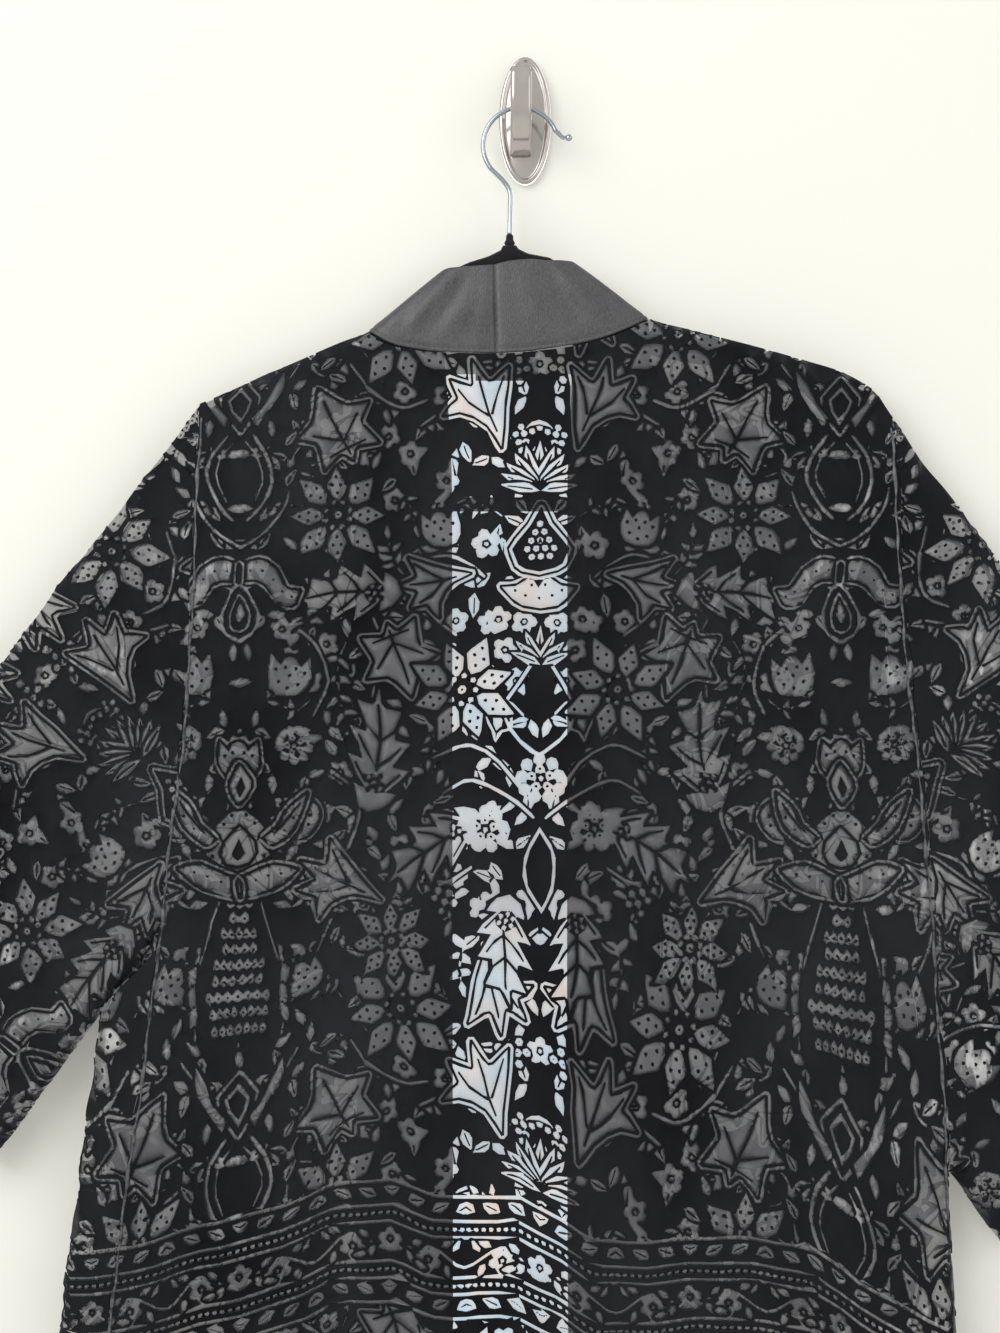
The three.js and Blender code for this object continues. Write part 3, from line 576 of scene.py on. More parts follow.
def sheer_ground():
    recipe = Recipe("sheer ground")
    weave = threads(recipe, WEAVE, 0) * threads(recipe, WEAVE, 2)
    patches = noise(recipe, 60.0, 3.0)
    # Painted light: the faint warm and cool tints stand for colours of light split by the fine weave.
    shimmer = noise(recipe, 22.0, 2.0, (1.0, 1.0, 2.4))
    tint = recipe.mix(shimmer, colour(0.225, 0.205, 0.205), colour(0.195, 0.21, 0.23))
    shade = recipe.mix(patches * 2.0 - 0.5, colour(0.122, 0.126, 0.134), tint)
    # Painted glints: bright grey specks towards the sides, where two noises meet, stand for silk catching the
    # light at sharp folds.
    from_middle = recipe.node("ShaderNodeSeparateXYZ", {}, {0: object_point(recipe)}).size()
    side = (from_middle * 16.0 - 2.4).clamped()
    glint_patches = noise(recipe, 17.0, 2.0, (1.0, 1.0, 0.7)) * 7.0 - 3.5
    creases = noise(recipe, 150.0, 3.0, (1.0, 1.0, 0.5)) * 9.0 - 4.4
    glint = creases.clamped() * glint_patches.clamped() * side
    return recipe.surface(
        Base_Color=recipe.mix(glint, shade, colour(0.72, 0.72, 0.72)),
        Roughness=patches * 0.25 + 0.2,
        Normal=recipe.relief(weave, 0.3, 0.0002),
        Specular_IOR_Level=0.5,
        Alpha=weave * 0.1 + 0.46,
    )


def charcoal_satin():
    recipe = Recipe("charcoal satin")
    grain_and_sheen = noise(recipe, 1500.0, 2.0, (1.0, 1.0, 0.4))
    clouds = noise(recipe, 34.0, 4.0, (1.0, 1.0, 0.6))
    # Painted sheen: clouds of lighter and darker satin and fine bright specks of grain stand for light on the
    # satin; the same noises also give its bump, and the grain its roughness.
    shade = recipe.mix(clouds * 2.2 - 0.6, colour(0.02, 0.019, 0.021), colour(0.06, 0.058, 0.061))
    return recipe.surface(
        Base_Color=recipe.mix(grain_and_sheen * 1.4 - 0.45, shade, colour(0.105, 0.102, 0.106)),
        Roughness=grain_and_sheen * 0.2 + 0.28,
        Normal=recipe.relief(grain_and_sheen * 0.15 + clouds * 0.85, 0.7, 0.0022),
        Specular_IOR_Level=0.45,
        Sheen_Weight=0.04,
    )


pile_finish = velvet_pile()
sheer_finish = sheer_ground()
satin_finish = charcoal_satin()
print("cloth finishes", pile_finish.name, sheer_finish.name, satin_finish.name)

# %% [markdown]
# ## Drawing the burnt pattern
# A devore pattern is printed from a screen that repeats, here one half drawing that is mirrored across
# the cloth. The drawing is kept as a map of distances: below 0 the pile is burnt away, above 0 it
# stays. Burning a shape takes the smaller of two distances and keeping one takes the larger, so
# outlines, dots and veins can be laid over each other as a printer would cut a screen. The flowers and
# leaves are ordinary ones, drawn here from a few points each.

# %% The screen and its pens
TILE_WIDTH = 186.0
TILE_HEIGHT = 418.0
SCREEN_PITCH = 0.8
UNBURNT = 6.0


def spline(points, steps=5):
    """A smooth line through a few points."""
    p = np.array(points, float)
    if len(p) < 3:
        return p
    p = np.vstack([2 * p[0] - p[1], p, 2 * p[-1] - p[-2]])
    t = (np.arange(steps) / steps)[:, None]
    runs = []
    for a, b, c, d in zip(p, p[1:], p[2:], p[3:]):
        bend = (2 * a - 5 * b + 4 * c - d) * t**2 + (3 * b - a - 3 * c + d) * t**3
        runs.append(0.5 * (2 * b + (c - a) * t + bend))
    return np.vstack(runs + [p[-2]])


def outline(*runs):
    """A closed outline from smooth runs that meet in tips."""
    return np.vstack([spline(run)[:-1] for run in runs])


def symmetric(*runs):
    """A closed outline from its right half, drawn upwards from the foot."""
    half = [np.array(run, float) for run in runs]
    other = [run[::-1] * (-1, 1) for run in reversed(half)]
    return outline(*half, *other)


def place(points, at, turn=0.0, scale=1.0):
    """Points in a motif's own frame, turned clockwise by degrees and put on the screen."""
    a = math.radians(turn)
    x, z = np.array(points, float).T * scale
    u = at[0] + x * math.cos(a) + z * math.sin(a)
    v = at[1] + x * math.sin(a) - z * math.cos(a)
    return np.column_stack([u, v])


class Screen:
    """One half of a repeat. `depth` is below 0 where the pile is burnt away."""

    def __init__(self, width, height):
        self.width, self.height = width, height
        self.columns = round(width / SCREEN_PITCH) + 1
        self.rows = round(height / SCREEN_PITCH) + 1
        self.u = np.linspace(0, width, self.columns)
        self.v = np.linspace(0, height, self.rows)
        self.depth = np.full((self.rows, self.columns), UNBURNT)

    def distance(self, points, closed, window):
        rows, columns = window
        u, v = np.meshgrid(self.u[columns], self.v[rows])
        best = np.full(u.shape, 1e9)
        within = np.zeros(u.shape, bool)
        ends = np.roll(points, -1, axis=0) if closed else points[1:]
        for (au, av), (bu, bv) in zip(points, ends):
            du, dv = bu - au, bv - av
            size = du * du + dv * dv
            if size < 1e-9:
                continue
            t = np.clip(((u - au) * du + (v - av) * dv) / size, 0, 1)
            best = np.minimum(best, (u - au - t * du) ** 2 + (v - av - t * dv) ** 2)
            if closed and av != bv:
                crosses = (av > v) != (bv > v)
                within ^= crosses & (u < au + (v - av) * du / dv)
        best = np.sqrt(best)
        return np.where(within, -best, best)

    def draw(self, points, closed, shape, keep=False):
        """Burns (or keeps) where shape(distance) is below 0, also across the ends of the repeat."""
        for shift in (-self.height, 0, self.height):
            moved = points + (0, shift)
            low, high = moved.min(0) - UNBURNT, moved.max(0) + UNBURNT
            if high[1] < 0 or low[1] > self.height or high[0] < 0 or low[0] > self.width:
                continue
            columns = slice(*np.searchsorted(self.u, [low[0], high[0]]))
            rows = slice(*np.searchsorted(self.v, [low[1], high[1]]))
            value = shape(self.distance(moved, closed, (rows, columns)))
            now = self.depth[rows, columns]
            self.depth[rows, columns] = np.maximum(now, -value) if keep else np.minimum(now, value)

    def sample(self, u, v):
        """The depth anywhere on the cloth: mirrored across it and repeated down it."""
        u = np.abs((u + self.width) % (2 * self.width) - self.width)
        v = v % self.height
        column = np.clip(u / self.width * (self.columns - 1), 0, self.columns - 1.001)
        row = np.clip(v / self.height * (self.rows - 1), 0, self.rows - 1.001)
        i, j = column.astype(int), row.astype(int)
        fu, fv = column - i, row - j
        top = blend(self.depth[j, i], self.depth[j, i + 1], fu)
        bottom = blend(self.depth[j + 1, i], self.depth[j + 1, i + 1], fu)
        return blend(top, bottom, fv)


class Pen:
    """Draws at a motif's own place, turn and size, or, without a place, anywhere on the screen."""

    def __init__(self, screen, at=None, turn=0.0, size=1.0, side=1):
        self.screen, self.at = screen, at
        self.turn, self.size, self.side = turn, size, side

    def sides(self):
        """The pen's mirror image and the pen itself."""
        return [Pen(self.screen, self.at, self.turn, self.size, side) for side in (-1, 1)]

    def put(self, points):
        points = np.array(points, float)
        if self.at is None:
            return points
        return place(points * (self.side, 1), self.at, self.turn, self.size)

    def draw(self, points, shape, keep=False):
        self.screen.draw(self.put(points), True, shape, keep)

    def guard(self, points, moat):
        """Keeps the pile in a shape and round it, over whatever was drawn before."""
        self.draw(points, lambda d: d - moat, keep=True)

    def fill(self, points, keep=False, moat=0.0):
        """Burns a shape, with pile kept round it where there is a moat."""
        if moat:
            self.guard(points, moat)
        self.draw(points, lambda d: d, keep)

    def ring(self, points, gap, width):
        """A burnt line that runs round a shape, with a line of pile between."""
        self.draw(points, lambda d: np.abs(d - gap - width / 2) - width / 2)

    def outlined(self, points, gap=1.5, width=1.8, moat=4.6):
        """A burnt shape with a second outline round it."""
        self.fill(points, moat=moat)
        self.ring(points, gap, width)

    def stroke(self, points, width, keep=False):
        self.screen.draw(spline(self.put(points)), False, lambda d: d - width / 2, keep)

    def veins(self, lines, width):
        """Lines of pile in a burnt shape."""
        for points in lines:
            self.stroke(points, width, keep=True)

    def dots(self, centres, radius, keep=True):
        for centre in self.put(centres):
            spot = np.array([centre, centre + (0.01, 0)])
            self.screen.draw(spot, False, lambda d: d - radius, keep)

    def wreath(self, count, reach, radius, keep=False):
        """Dots in a circle round the motif's foot."""
        for k in range(count):
            Pen(self.screen, self.at, self.turn + 360 * k / count).dots([(0, reach)], radius, keep)


print("a repeat is", 2 * TILE_WIDTH, "x", TILE_HEIGHT, "mm, drawn every", SCREEN_PITCH, "mm")

# %% [markdown]
# ### Small motifs
# Almond leaves, berries and five-petalled blossoms fill the ground between the large flowers. Each is
# one function of where it stands, how far it is turned and how big it is.

# %% Leaves, berries and blossoms


def almond(length, width, bend=0.0):
    """A leaf that grows up from its foot and leans to one side."""
    right = [(0, 0), (width * 0.5, length * 0.36), (width * 0.36 + bend * 0.6, length * 0.7), (bend, length)]
    left = [(bend, length), (-width * 0.42 + bend * 0.5, length * 0.66), (-width * 0.5, length * 0.3), (0, 0)]
    return outline(right, left)


def leaf(screen, at, turn, length=12.0, width=5.0, bend=1.5, vein=False):
    pen = Pen(screen, at, turn)
    pen.fill(almond(length, width, bend), moat=1.3)
    if vein:
        pen.veins([[(0, length * 0.2), (bend * 0.3, length * 0.5), (bend * 0.8, length * 0.8)]], 0.9)


def heading(step):
    """The turn, in degrees, of a stem that grows by this step."""
    return math.degrees(math.atan2(step[0], -step[1]))


def sprig(screen, points, leaves=3, length=9.0):
    """A stem with leaves in pairs along it and one at its tip."""
    way = spline(points, 8)
    Pen(screen).stroke(points, 1.5)
    for i in range(leaves):
        k = int((i + 1) / (leaves + 0.6) * (len(way) - 2))
        for side in (-1, 1):
            turn = heading(way[k + 1] - way[k]) + 48 * side
            leaf(screen, way[k], turn, length, length * 0.42, side)
    leaf(screen, way[-1], heading(way[-1] - way[-2]), length * 1.1, length * 0.45, 0.0)


def blossom(screen, at, size=8.0, turn=0.0):
    pen = Pen(screen, at, turn)
    pen.dots([(0, 0)], size + 1.2)
    pen.wreath(5, size * 0.62, size * 0.385)
    pen.dots([(0, 0)], size * 0.3)
    pen.dots([(0, 0)], size * 0.17, keep=False)


def berries(screen, at, size=3.0, turn=0.0):
    heap = [(0, 0), (2.1, 0.6), (1.1, 2.3), (-1.1, 1.9), (-2, -0.3), (0.6, -2.1), (3.4, 2.6)]
    pen = Pen(screen, at, turn, size)
    pen.dots(heap, size * 0.9 + 1.3)
    pen.dots(heap, size * 0.9, keep=False)
    pen.dots(heap[:5], size * 0.2)


def curl(screen, at, turn, size=16.0, side=1):
    """A stem that rolls up, with a leaf inside it."""
    pen = Pen(screen, at, turn, size / 16, side)
    pen.stroke([(0, 0), (2, 8), (9, 12), (15, 8), (15, 1), (9, -2), (5, 2)], 1.6)
    leaf(screen, pen.put([(9, 6)])[0], turn + 130 * side, size * 0.5, size * 0.3)


print("an almond leaf has", len(almond(12.0, 5.0)), "points")

# %% [markdown]
# ### Large motifs
# The big flowers, ivy leaves, tulips and lilies carry dots and veins of pile inside a burnt shape, and
# many have a second outline round them.

# %% Flowers, ivy leaves, tulips and lilies


def dotted_flower(screen, at, size=32.0, turn=0.0):
    """Eight petals, long and short in turn, round a button."""
    petal = symmetric([(0, 0.3), (0.12, 0.4), (0.225, 0.62)], [(0.225, 0.62), (0.15, 0.8), (0, 1.06)])
    pens = [Pen(screen, at, turn + 45 * k, size * (1.0 if k % 2 else 0.88)) for k in range(8)]
    button = Pen(screen, at, turn + 22.5)
    button.dots([(0, 0)], size * 0.72)
    for pen in pens:
        pen.guard(petal, 1.6)
    for pen in pens:
        pen.fill(petal)
        pen.dots([(0, 0.84), (0.09, 0.66), (-0.09, 0.66), (0, 0.48)], 1.3)
    button.wreath(8, size * 0.25, 1.9)
    button.dots([(0, 0)], 2.8, keep=False)
    button.dots([(0, 0)], 0.9)


def ivy(screen, at, turn=0.0, size=30.0):
    """A five-pointed leaf with a second outline."""
    pen = Pen(screen, at, turn, size)
    pen.outlined(symmetric(
        [(0, -0.5), (0.12, -0.34), (0.42, -0.46)],
        [(0.42, -0.46), (0.36, -0.2), (0.36, -0.04), (0.56, 0.14)],
        [(0.56, 0.14), (0.36, 0.18), (0.2, 0.28), (0, 0.64)],
    ))
    pen.veins([[(0, -0.4), (0, 0.44)]], 1.2)
    for half in pen.sides():
        half.veins([[(0, -0.2), (0.36, 0.06)], [(0, -0.3), (0.28, -0.32)]], 1.2)


def tulip(screen, at, turn=0.0, size=24.0, ring=False):
    """A bud with dots in it and three small beads above."""
    pen = Pen(screen, at, turn, size)
    bud = symmetric(
        [(0, -0.5), (0.3, -0.42), (0.46, -0.12), (0.42, 0.36)],
        [(0.42, 0.36), (0.26, 0.2), (0.2, 0.12)],
        [(0.2, 0.12), (0.14, 0.3), (0, 0.36)],
    )
    pen.fill(bud, moat=4.2 if ring else 1.5)
    if ring:
        pen.ring(bud, 1.4, 1.6)
    pen.dots([(0, -0.32), (0, -0.06)], 1.35)
    for half in pen.sides():
        half.dots([(0.2, -0.22), (0.3, 0.02), (0.11, 0.1)], 1.35)
    pen.dots([(0.12, 0.46), (-0.12, 0.46), (0, 0.6)], 1.7, keep=False)


def lily(screen, at, turn=0.0, size=40.0):
    """A bell flower seen from the side, with long pointed petals."""
    pen = Pen(screen, at, turn, size)
    pen.outlined(outline(
        [(0, -0.5), (0.08, -0.2), (0.3, 0.02), (0.52, 0.06)],
        [(0.52, 0.06), (0.38, 0.16), (0.3, 0.2), (0.34, 0.44)],
        [(0.34, 0.44), (0.18, 0.3), (0.1, 0.3), (0.02, 0.56)],
        [(0.02, 0.56), (-0.04, 0.3), (-0.14, 0.26), (-0.36, 0.36)],
        [(-0.36, 0.36), (-0.26, 0.16), (-0.16, -0.1), (-0.08, -0.3), (0, -0.5)],
    ))
    pen.veins([
        [(0, -0.3), (0.02, 0.05), (0.02, 0.36)],
        [(0.03, -0.1), (0.2, 0.1), (0.28, 0.3)],
        [(-0.02, -0.1), (-0.14, 0.12), (-0.26, 0.28)],
    ], 1.3)


print("large motifs: dotted flower, ivy leaf, tulip and lily")

# %% [markdown]
# ### Thistles and roses
# A thistle is a long leaf with pointed lobes, so its edge comes from a loop over the lobes, and its
# spine is bent afterwards. A rose is rings of small round petals.

# %% Thistles and roses
LOBES = 4
LEAF_WIDTH = 0.3
SPINE_BEND = 0.2
LEAF_MIDDLE = 0.55


def bent(points):
    """A leaf's points on its bent spine, about its middle."""
    x, z = np.array(points, float).T
    return np.column_stack([x + SPINE_BEND * z**2, z - LEAF_MIDDLE])


def saw_edge(side):
    """The lobes of one side, from the foot of the leaf to its tip."""
    tip = np.array([0.0, 0.0])
    runs = []
    for k in range(LOBES):
        reach = LEAF_WIDTH * (0.45 + 0.55 * math.sin(math.pi * (k + 0.55) / (LOBES + 0.2)))
        middle = np.array([side * reach * 0.72, (k + 0.35) / LOBES])
        point = np.array([side * reach * 1.1, (k + 0.98) / LOBES])
        runs.append([tip, middle, point])
        tip = np.array([side * reach * 0.5, (k + 0.9) / LOBES])
        runs.append([point, (point + tip) / 2 - (0, 0.01), tip])
    runs[-1] = [point, (side * 0.05, 1.0), (0, 1.18)]
    return runs


def thistle(screen, at, turn=0.0, size=60.0):
    """A long saw-edged leaf that holds a small dotted flower."""
    pen = Pen(screen, at, turn, size)
    edge = saw_edge(1) + [run[::-1] for run in reversed(saw_edge(-1))]
    pen.fill(bent(outline(*edge)), moat=1.7)
    share = np.linspace(0, 1, 9)[2:]
    pen.veins([bent(np.column_stack([share * 0, share]))], 1.4)
    for side in (1, -1):
        for k in (0.2, 0.45, 0.68):
            pen.veins([bent([(0, k), (side * 0.12, k + 0.1), (side * 0.21, k + 0.22)])], 1.3)
    heart = Pen(screen, pen.put([(0.03, -0.26)])[0], turn)
    heart.dots([(0, 0)], size * 0.115)
    heart.wreath(6, size * 0.075, size * 0.027)
    heart.dots([(0, 0)], size * 0.026, keep=False)


def rose(screen, at, turn=0.0, size=11.0):
    """Rings of small round petals."""
    pen = Pen(screen, at, turn)
    pen.dots([(0, 0)], size * 1.08 + 1.4)
    pen.wreath(9, size * 0.82, size * 0.26)
    pen.wreath(5, size * 0.4, size * 0.2)
    pen.wreath(5, size * 0.4, size * 0.07, keep=True)
    pen.dots([(0, 0)], size * 0.12, keep=False)


print("a thistle leaf has", LOBES, "lobes a side")

# %% [markdown]
# ### Palmettes and stems on the mirror lines
# The tall palmettes, scale-covered stems, crowns and scrolls stand on the lines where the drawing is
# mirrored, so each is drawn about its own middle, and what stands beside the middle is drawn by the
# same pen turned to each side.

# %% Palmettes and scale-covered stems
SCALE_ROWS = 9


def palmette(screen, at, size=1.0):
    """A beaded arch with a heart, a drop above it and a high and a low wing on each side."""
    pen = Pen(screen, at, 0, size)
    pen.fill(symmetric([(0, -2), (10, 0), (19, 8)], [(19, 8), (17, 20), (9, 30), (0, 36)]), moat=1.8)
    for half in pen.sides():
        half.dots([(4, 31), (9, 26), (13.4, 20), (15.8, 13), (15.4, 7)], 1.35)
    inner = symmetric([(0, 0), (7, 2), (11, 8)], [(11, 8), (9, 16), (0, 25)])
    pen.draw(inner, lambda d: np.abs(d) - 0.9, keep=True)
    pen.fill(symmetric([(0, 4), (3.6, 8), (0, 17)]), keep=True)
    pen.outlined(symmetric([(0, 38), (5, 45), (6, 52), (0, 62)]))
    pen.fill(symmetric([(0, 42), (2.4, 48), (0, 55)]), keep=True)
    for half in pen.sides():
        half.outlined(outline(
            [(15, 18), (24, 26), (29, 36), (40, 46)],
            [(40, 46), (37, 33), (31, 22), (20, 14), (15, 18)],
        ))
        half.veins([[(21, 21), (30, 31), (36, 40)]], 1.2)
        half.dots([(27, 23), (33, 31), (26, 30)], 1.0)
        half.outlined(outline(
            [(8, -4), (22, 2), (36, 0)],
            [(36, 0), (28, -8), (16, -14), (0, -17)],
            [(0, -17), (0, -8), (8, -4)],
        ))
        half.dots([(10, -8), (18, -5), (26, -3)], 1.1)


def scaled_stem(screen, at, length=88.0, top=9.0, foot=22.0):
    """A widening stem covered with scales, between two edges with teeth."""
    pen = Pen(screen, at)
    low_third, low_end = -0.35 * length, -0.7 * length
    body = [(top + 4.5, 3), (foot + 0.5, low_third), (foot + 8.5, low_end), (foot + 7, -length - 2)]
    pen.fill(body + [(-x, z) for x, z in reversed(body)], keep=True)
    for i in range(SCALE_ROWS):
        share = (i + 0.5) / SCALE_ROWS
        half_width = blend(top, foot, ease(share * 1.1)) if share < 0.8 else foot * (1 - (share - 0.8) * 1.6)
        count = max(1, int(half_width / 5.2))
        step = 2 * half_width / (2 * count + 1)
        low = -share * length - 3.9
        wide = step * 0.5 - 0.45
        scale = symmetric([(0, low), (wide, low + 1.5), (wide, low + 5.0), (0, low + 7.6)])
        for k in range(-count, count + 1):
            x = (k + 0.5 * (i % 2)) * step
            pen.fill(scale + (x, 0))
            pen.dots([(x, low + 3.2)], 0.95)
    for half in pen.sides():
        half.stroke([(top + 3, 0), (foot - 2, low_third), (foot + 6, low_end), (foot + 4, -length)], 1.8)
        for share in (0.5, 0.64, 0.78):
            tooth = half.put([(foot + 3.5, -share * length)])[0]
            leaf(screen, tooth, 150 * half.side, 13, 6, 2 * half.side)


print("a stem has", SCALE_ROWS, "rows of scales")

# %% [markdown]
# ### Crowns, scrolls, fans and cups
# These stand between the palmettes on both mirror lines. A crown is a diamond with horns and arms, a
# scroll is an arch that ends in two curls, a fan is palm leaves, and a cup holds a heap of beads.

# %% Crowns, scrolls, fans and cups


def crown(screen, at, size=1.0):
    """A diamond held by two horns, on curving arms."""
    pen = Pen(screen, at, 0, size)
    diamond = symmetric([(0, -14), (8, -2), (10, 6)], [(10, 6), (4, 12), (0, 17)])
    pen.guard(diamond, 4.0)
    pen.ring(diamond, 0.4, 2.2)
    pen.ring(diamond, -5.0, 2.4)
    for half in pen.sides():
        half.fill(outline(
            [(6, -6), (15, 4), (19, 14), (26, 24)],
            [(26, 24), (25, 12), (19, 2), (9, -12)],
            [(9, -12), (6, -6)],
        ), moat=1.7)
        arm = [(7, -16), (16, -28), (19, -42), (12, -58), (4, -66)]
        half.stroke(arm, 5.0, keep=True)
        half.stroke(arm, 2.6)
        half.stroke([(3, -20), (11, -30), (13.4, -42), (8, -55)], 1.4)
        for foot, turn, length, bend in (((26, -22), 30, 13, 1.5), ((27, -46), 20, 15, 3)):
            leaf(screen, half.put([foot])[0], turn * half.side, length, 6, bend * half.side, vein=True)


def arching_scroll(screen, at, size=1.0):
    """Two curls that part from one point, over a hanging drop."""
    pen = Pen(screen, at, 0, size)
    for half in pen.sides():
        half.outlined(outline(
            [(0, 15), (10, 18), (20, 13), (26, 3), (34, 2)],
            [(34, 2), (30, -6), (22, -5), (15, 4), (8, 7), (0, 6)],
            [(0, 6), (0, 15)],
        ), 1.4, 1.7, moat=4.4)
        half.dots([(6, 12), (13, 11.5), (19, 7), (24, 1), (29, -1.5)], 1.0)
    drop = symmetric([(0, -26), (7, -22), (8.5, -12), (4, -1), (0, 3)])
    pen.guard(drop, 2.0)
    pen.ring(drop, 0, 2.0)
    pen.ring(drop, -4.6, 1.8)
    pen.fill(symmetric([(0, -17), (2.6, -13), (0, -5)]))


def fan(screen, at, size=1.0, blades=5, spread=60.0, length=26.0):
    """Palm leaves that open from one foot."""
    for k in range(-blades + 1, blades):
        reach = length * (1 - 0.22 * abs(k) / blades) * size
        leaf(screen, at, spread * k / (blades - 1), reach, reach * 0.24, 1.5 * np.sign(k), vein=True)


def cup(screen, at, size=1.0):
    """A pointed cup with dots, under a heap of beads."""
    pen = Pen(screen, at, 0, size)
    pen.outlined(symmetric([(0, -14), (12, -11), (22, 0)], [(22, 0), (14, 0), (7, 4), (0, 14)]))
    pen.dots([(0, -8), (8, -6), (-8, -6), (14, -2.5), (-14, -2.5), (4, 0), (-4, 0)], 1.1)
    pen.fill(symmetric([(0, -2), (2.2, 3), (0, 9)]), keep=True)
    arch = symmetric([(0, 8), (12, 12), (17, 22)], [(17, 22), (10, 31), (5, 36), (0, 46)])
    pen.guard(arch, 6.0)
    pen.ring(arch, 0.2, 2.0)
    pen.ring(arch, 3.6, 1.7)
    for row, count in enumerate((3, 4, 3, 2, 1)):
        for k in range(count):
            bead = [((k - (count - 1) / 2) * 5.4, 17 + row * 4.8)]
            pen.dots(bead, 2.1 * size, keep=False)
            pen.dots(bead, 0.6)


print("more motifs of the mirror lines: crown, scroll, fan and cup")

# %% [markdown]
# ### Laying the motifs out
# The left edge of the screen is the mirror line near the centre back and the right edge is the next
# one. Stems run between the large motifs, and small leaves and blossoms fill what is left.

# %% The floral screen
floral = Screen(TILE_WIDTH, TILE_HEIGHT)


def scatter(screen, spacing=23.0):
    """Blossoms, leaves and berries all over the ground, each a little off its place."""
    rows = round(screen.height / spacing)
    for row in range(rows):
        for k in range(int(screen.width / spacing) + 2):
            seed = row * 7.31 + k * 3.77
            u = (k + 0.5 * (row % 2) + 0.28 * math.sin(seed * 5.1)) * spacing
            v = (row + 0.5 + 0.28 * math.cos(seed * 3.3)) * screen.height / rows
            turn = 360 * ((math.sin(seed * 12.9) * 43.7) % 1)
            kind = int(abs(math.sin(seed * 2.17)) * 97) % 5
            if kind == 0:
                blossom(screen, (u, v), 8.2, turn)
            else:
                spread = 36 + 6 * kind
                leaf(screen, (u, v), turn - spread, 14, 6.6, -1.2, vein=True)
                leaf(screen, (u, v), turn + spread, 13, 6.0, 1.2)


def lay_out(screen, rows):
    """Draws a table of motifs. A row is a motif, its place, and then its turn, size and so on."""
    for motif, at, *how in rows:
        motif(screen, at, *how)


scatter(floral)
LEAVES = sizes("u v turn length", [
    [100, 40, 70, 13], [88, 90, 120, 12], [48, 66, 200, 13], [104, 84, -30, 11],
    [148, 64, 20, 12], [10, 118, 60, 12], [18, 140, 20, 14], [40, 160, 170, 14],
    [100, 150, 210, 11], [146, 150, 250, 12], [74, 186, 160, 13], [30, 196, 140, 14],
    [64, 196, 40, 10], [140, 180, 160, 12], [26, 260, 70, 12], [38, 252, 20, 12],
    [60, 268, 150, 11], [84, 232, 60, 11], [126, 262, 30, 13], [134, 250, 80, 11],
    [54, 286, 100, 12], [20, 312, 20, 13], [30, 326, 210, 12], [88, 340, 60, 12],
    [100, 314, 30, 11], [124, 366, 150, 12], [134, 352, 80, 11], [60, 372, -30, 11],
    [48, 6, 110, 13], [10, 4, 150, 11], [120, 30, 60, 12], [126, 14, 120, 12],
    [146, 6, 20, 11], [160, 84, 40, 12], [166, 106, 190, 11], [96, 46, 190, 10],
    [66, 60, 30, 10], [14, 290, 110, 10], [44, 344, 100, 10], [132, 320, 200, 10],
    [150, 330, 160, 12], [154, 350, 20, 11], [60, 404, 60, 12], [72, 386, 200, 11],
    [90, 382, 130, 11], [156, 408, 80, 11], [14, 214, 200, 10], [108, 128, 240, 9],
])
for u, v, turn, length in zip(*LEAVES.values()):
    leaf(floral, (u, v), turn, length * 1.15, length * 0.52, 1.2, vein=length > 11.5)
lay_out(floral, [
    (sprig, [(90, 96), (82, 106), (78, 118)], 2, 9),
    (sprig, [(84, 150), (92, 140), (94, 128)], 2, 10),
    (sprig, [(120, 190), (126, 206), (124, 226), (118, 240)], 4, 11),
    (sprig, [(70, 240), (66, 252), (68, 262)], 2, 9),
    (sprig, [(110, 386), (104, 376), (104, 364)], 3, 9),
    (sprig, [(78, 366), (84, 358), (86, 348)], 2, 9),
    (sprig, [(122, 410), (128, 400), (134, 404)], 1, 9),
    (sprig, [(142, 226), (150, 232), (160, 230)], 1, 9),
    (sprig, [(24, 112), (34, 106), (46, 108)], 2, 9),
    (sprig, [(46, 372), (50, 386), (48, 398)], 2, 10),
    (sprig, [(60, 20), (52, 30), (54, 38)], 1, 9),
])
lay_out(floral, [
    (blossom, (80, 74), 8.6), (blossom, (94, 64), 7.6, 30), (blossom, (58, 90), 8.0, 50),
    (blossom, (34, 130), 9.6, 10), (blossom, (26, 176), 8.4), (blossom, (12, 352), 8.6),
    (blossom, (32, 352), 8.0, 30), (blossom, (160, 182), 7.6),
    (berries, (14, 22), 2.9, 20), (berries, (60, 350), 2.9), (berries, (10, 62), 2.4, 120),
])
STEMS = [
    [(0, 196), (12, 214), (22, 232), (16, 248), (0, 262)],
    [(4, 300), (20, 286), (44, 276), (60, 283)],
    [(2, 367), (14, 376), (24, 382)],
    [(52, 186), (66, 176), (84, 168), (104, 166), (122, 172)],
    [(30, 62), (44, 50), (58, 46), (74, 56)],
    [(96, 352), (112, 346), (126, 340)],
    [(42, 330), (56, 338), (66, 336), (74, 322)],
    [(104, 176), (98, 190), (94, 204)],
    [(150, 18), (158, 28), (170, 34)],
    [(186, 404), (170, 408), (152, 398), (138, 380), (130, 362)],
    [(66, 262), (46, 254), (28, 262), (14, 280)],
    [(150, 182), (138, 194), (132, 216), (140, 236)],
    [(118, 18), (104, 36), (86, 46), (70, 40)],
    [(186, 132), (170, 122), (158, 104), (156, 84)],
    [(74, 140), (58, 136), (44, 142), (34, 150)],
    [(120, 320), (112, 300), (116, 282), (130, 270)],
]
for stem in STEMS:
    Pen(floral).stroke(stem, 4.6, keep=True)
    Pen(floral).stroke(stem, 2.2)
print("burnt so far", round(float((floral.depth < 0).mean()), 2), "with", len(STEMS), "stems")

# %% [markdown]
# The large motifs go on last. Each keeps a moat of pile round itself, so it stands clear of the leaves
# and stems that were drawn before it.

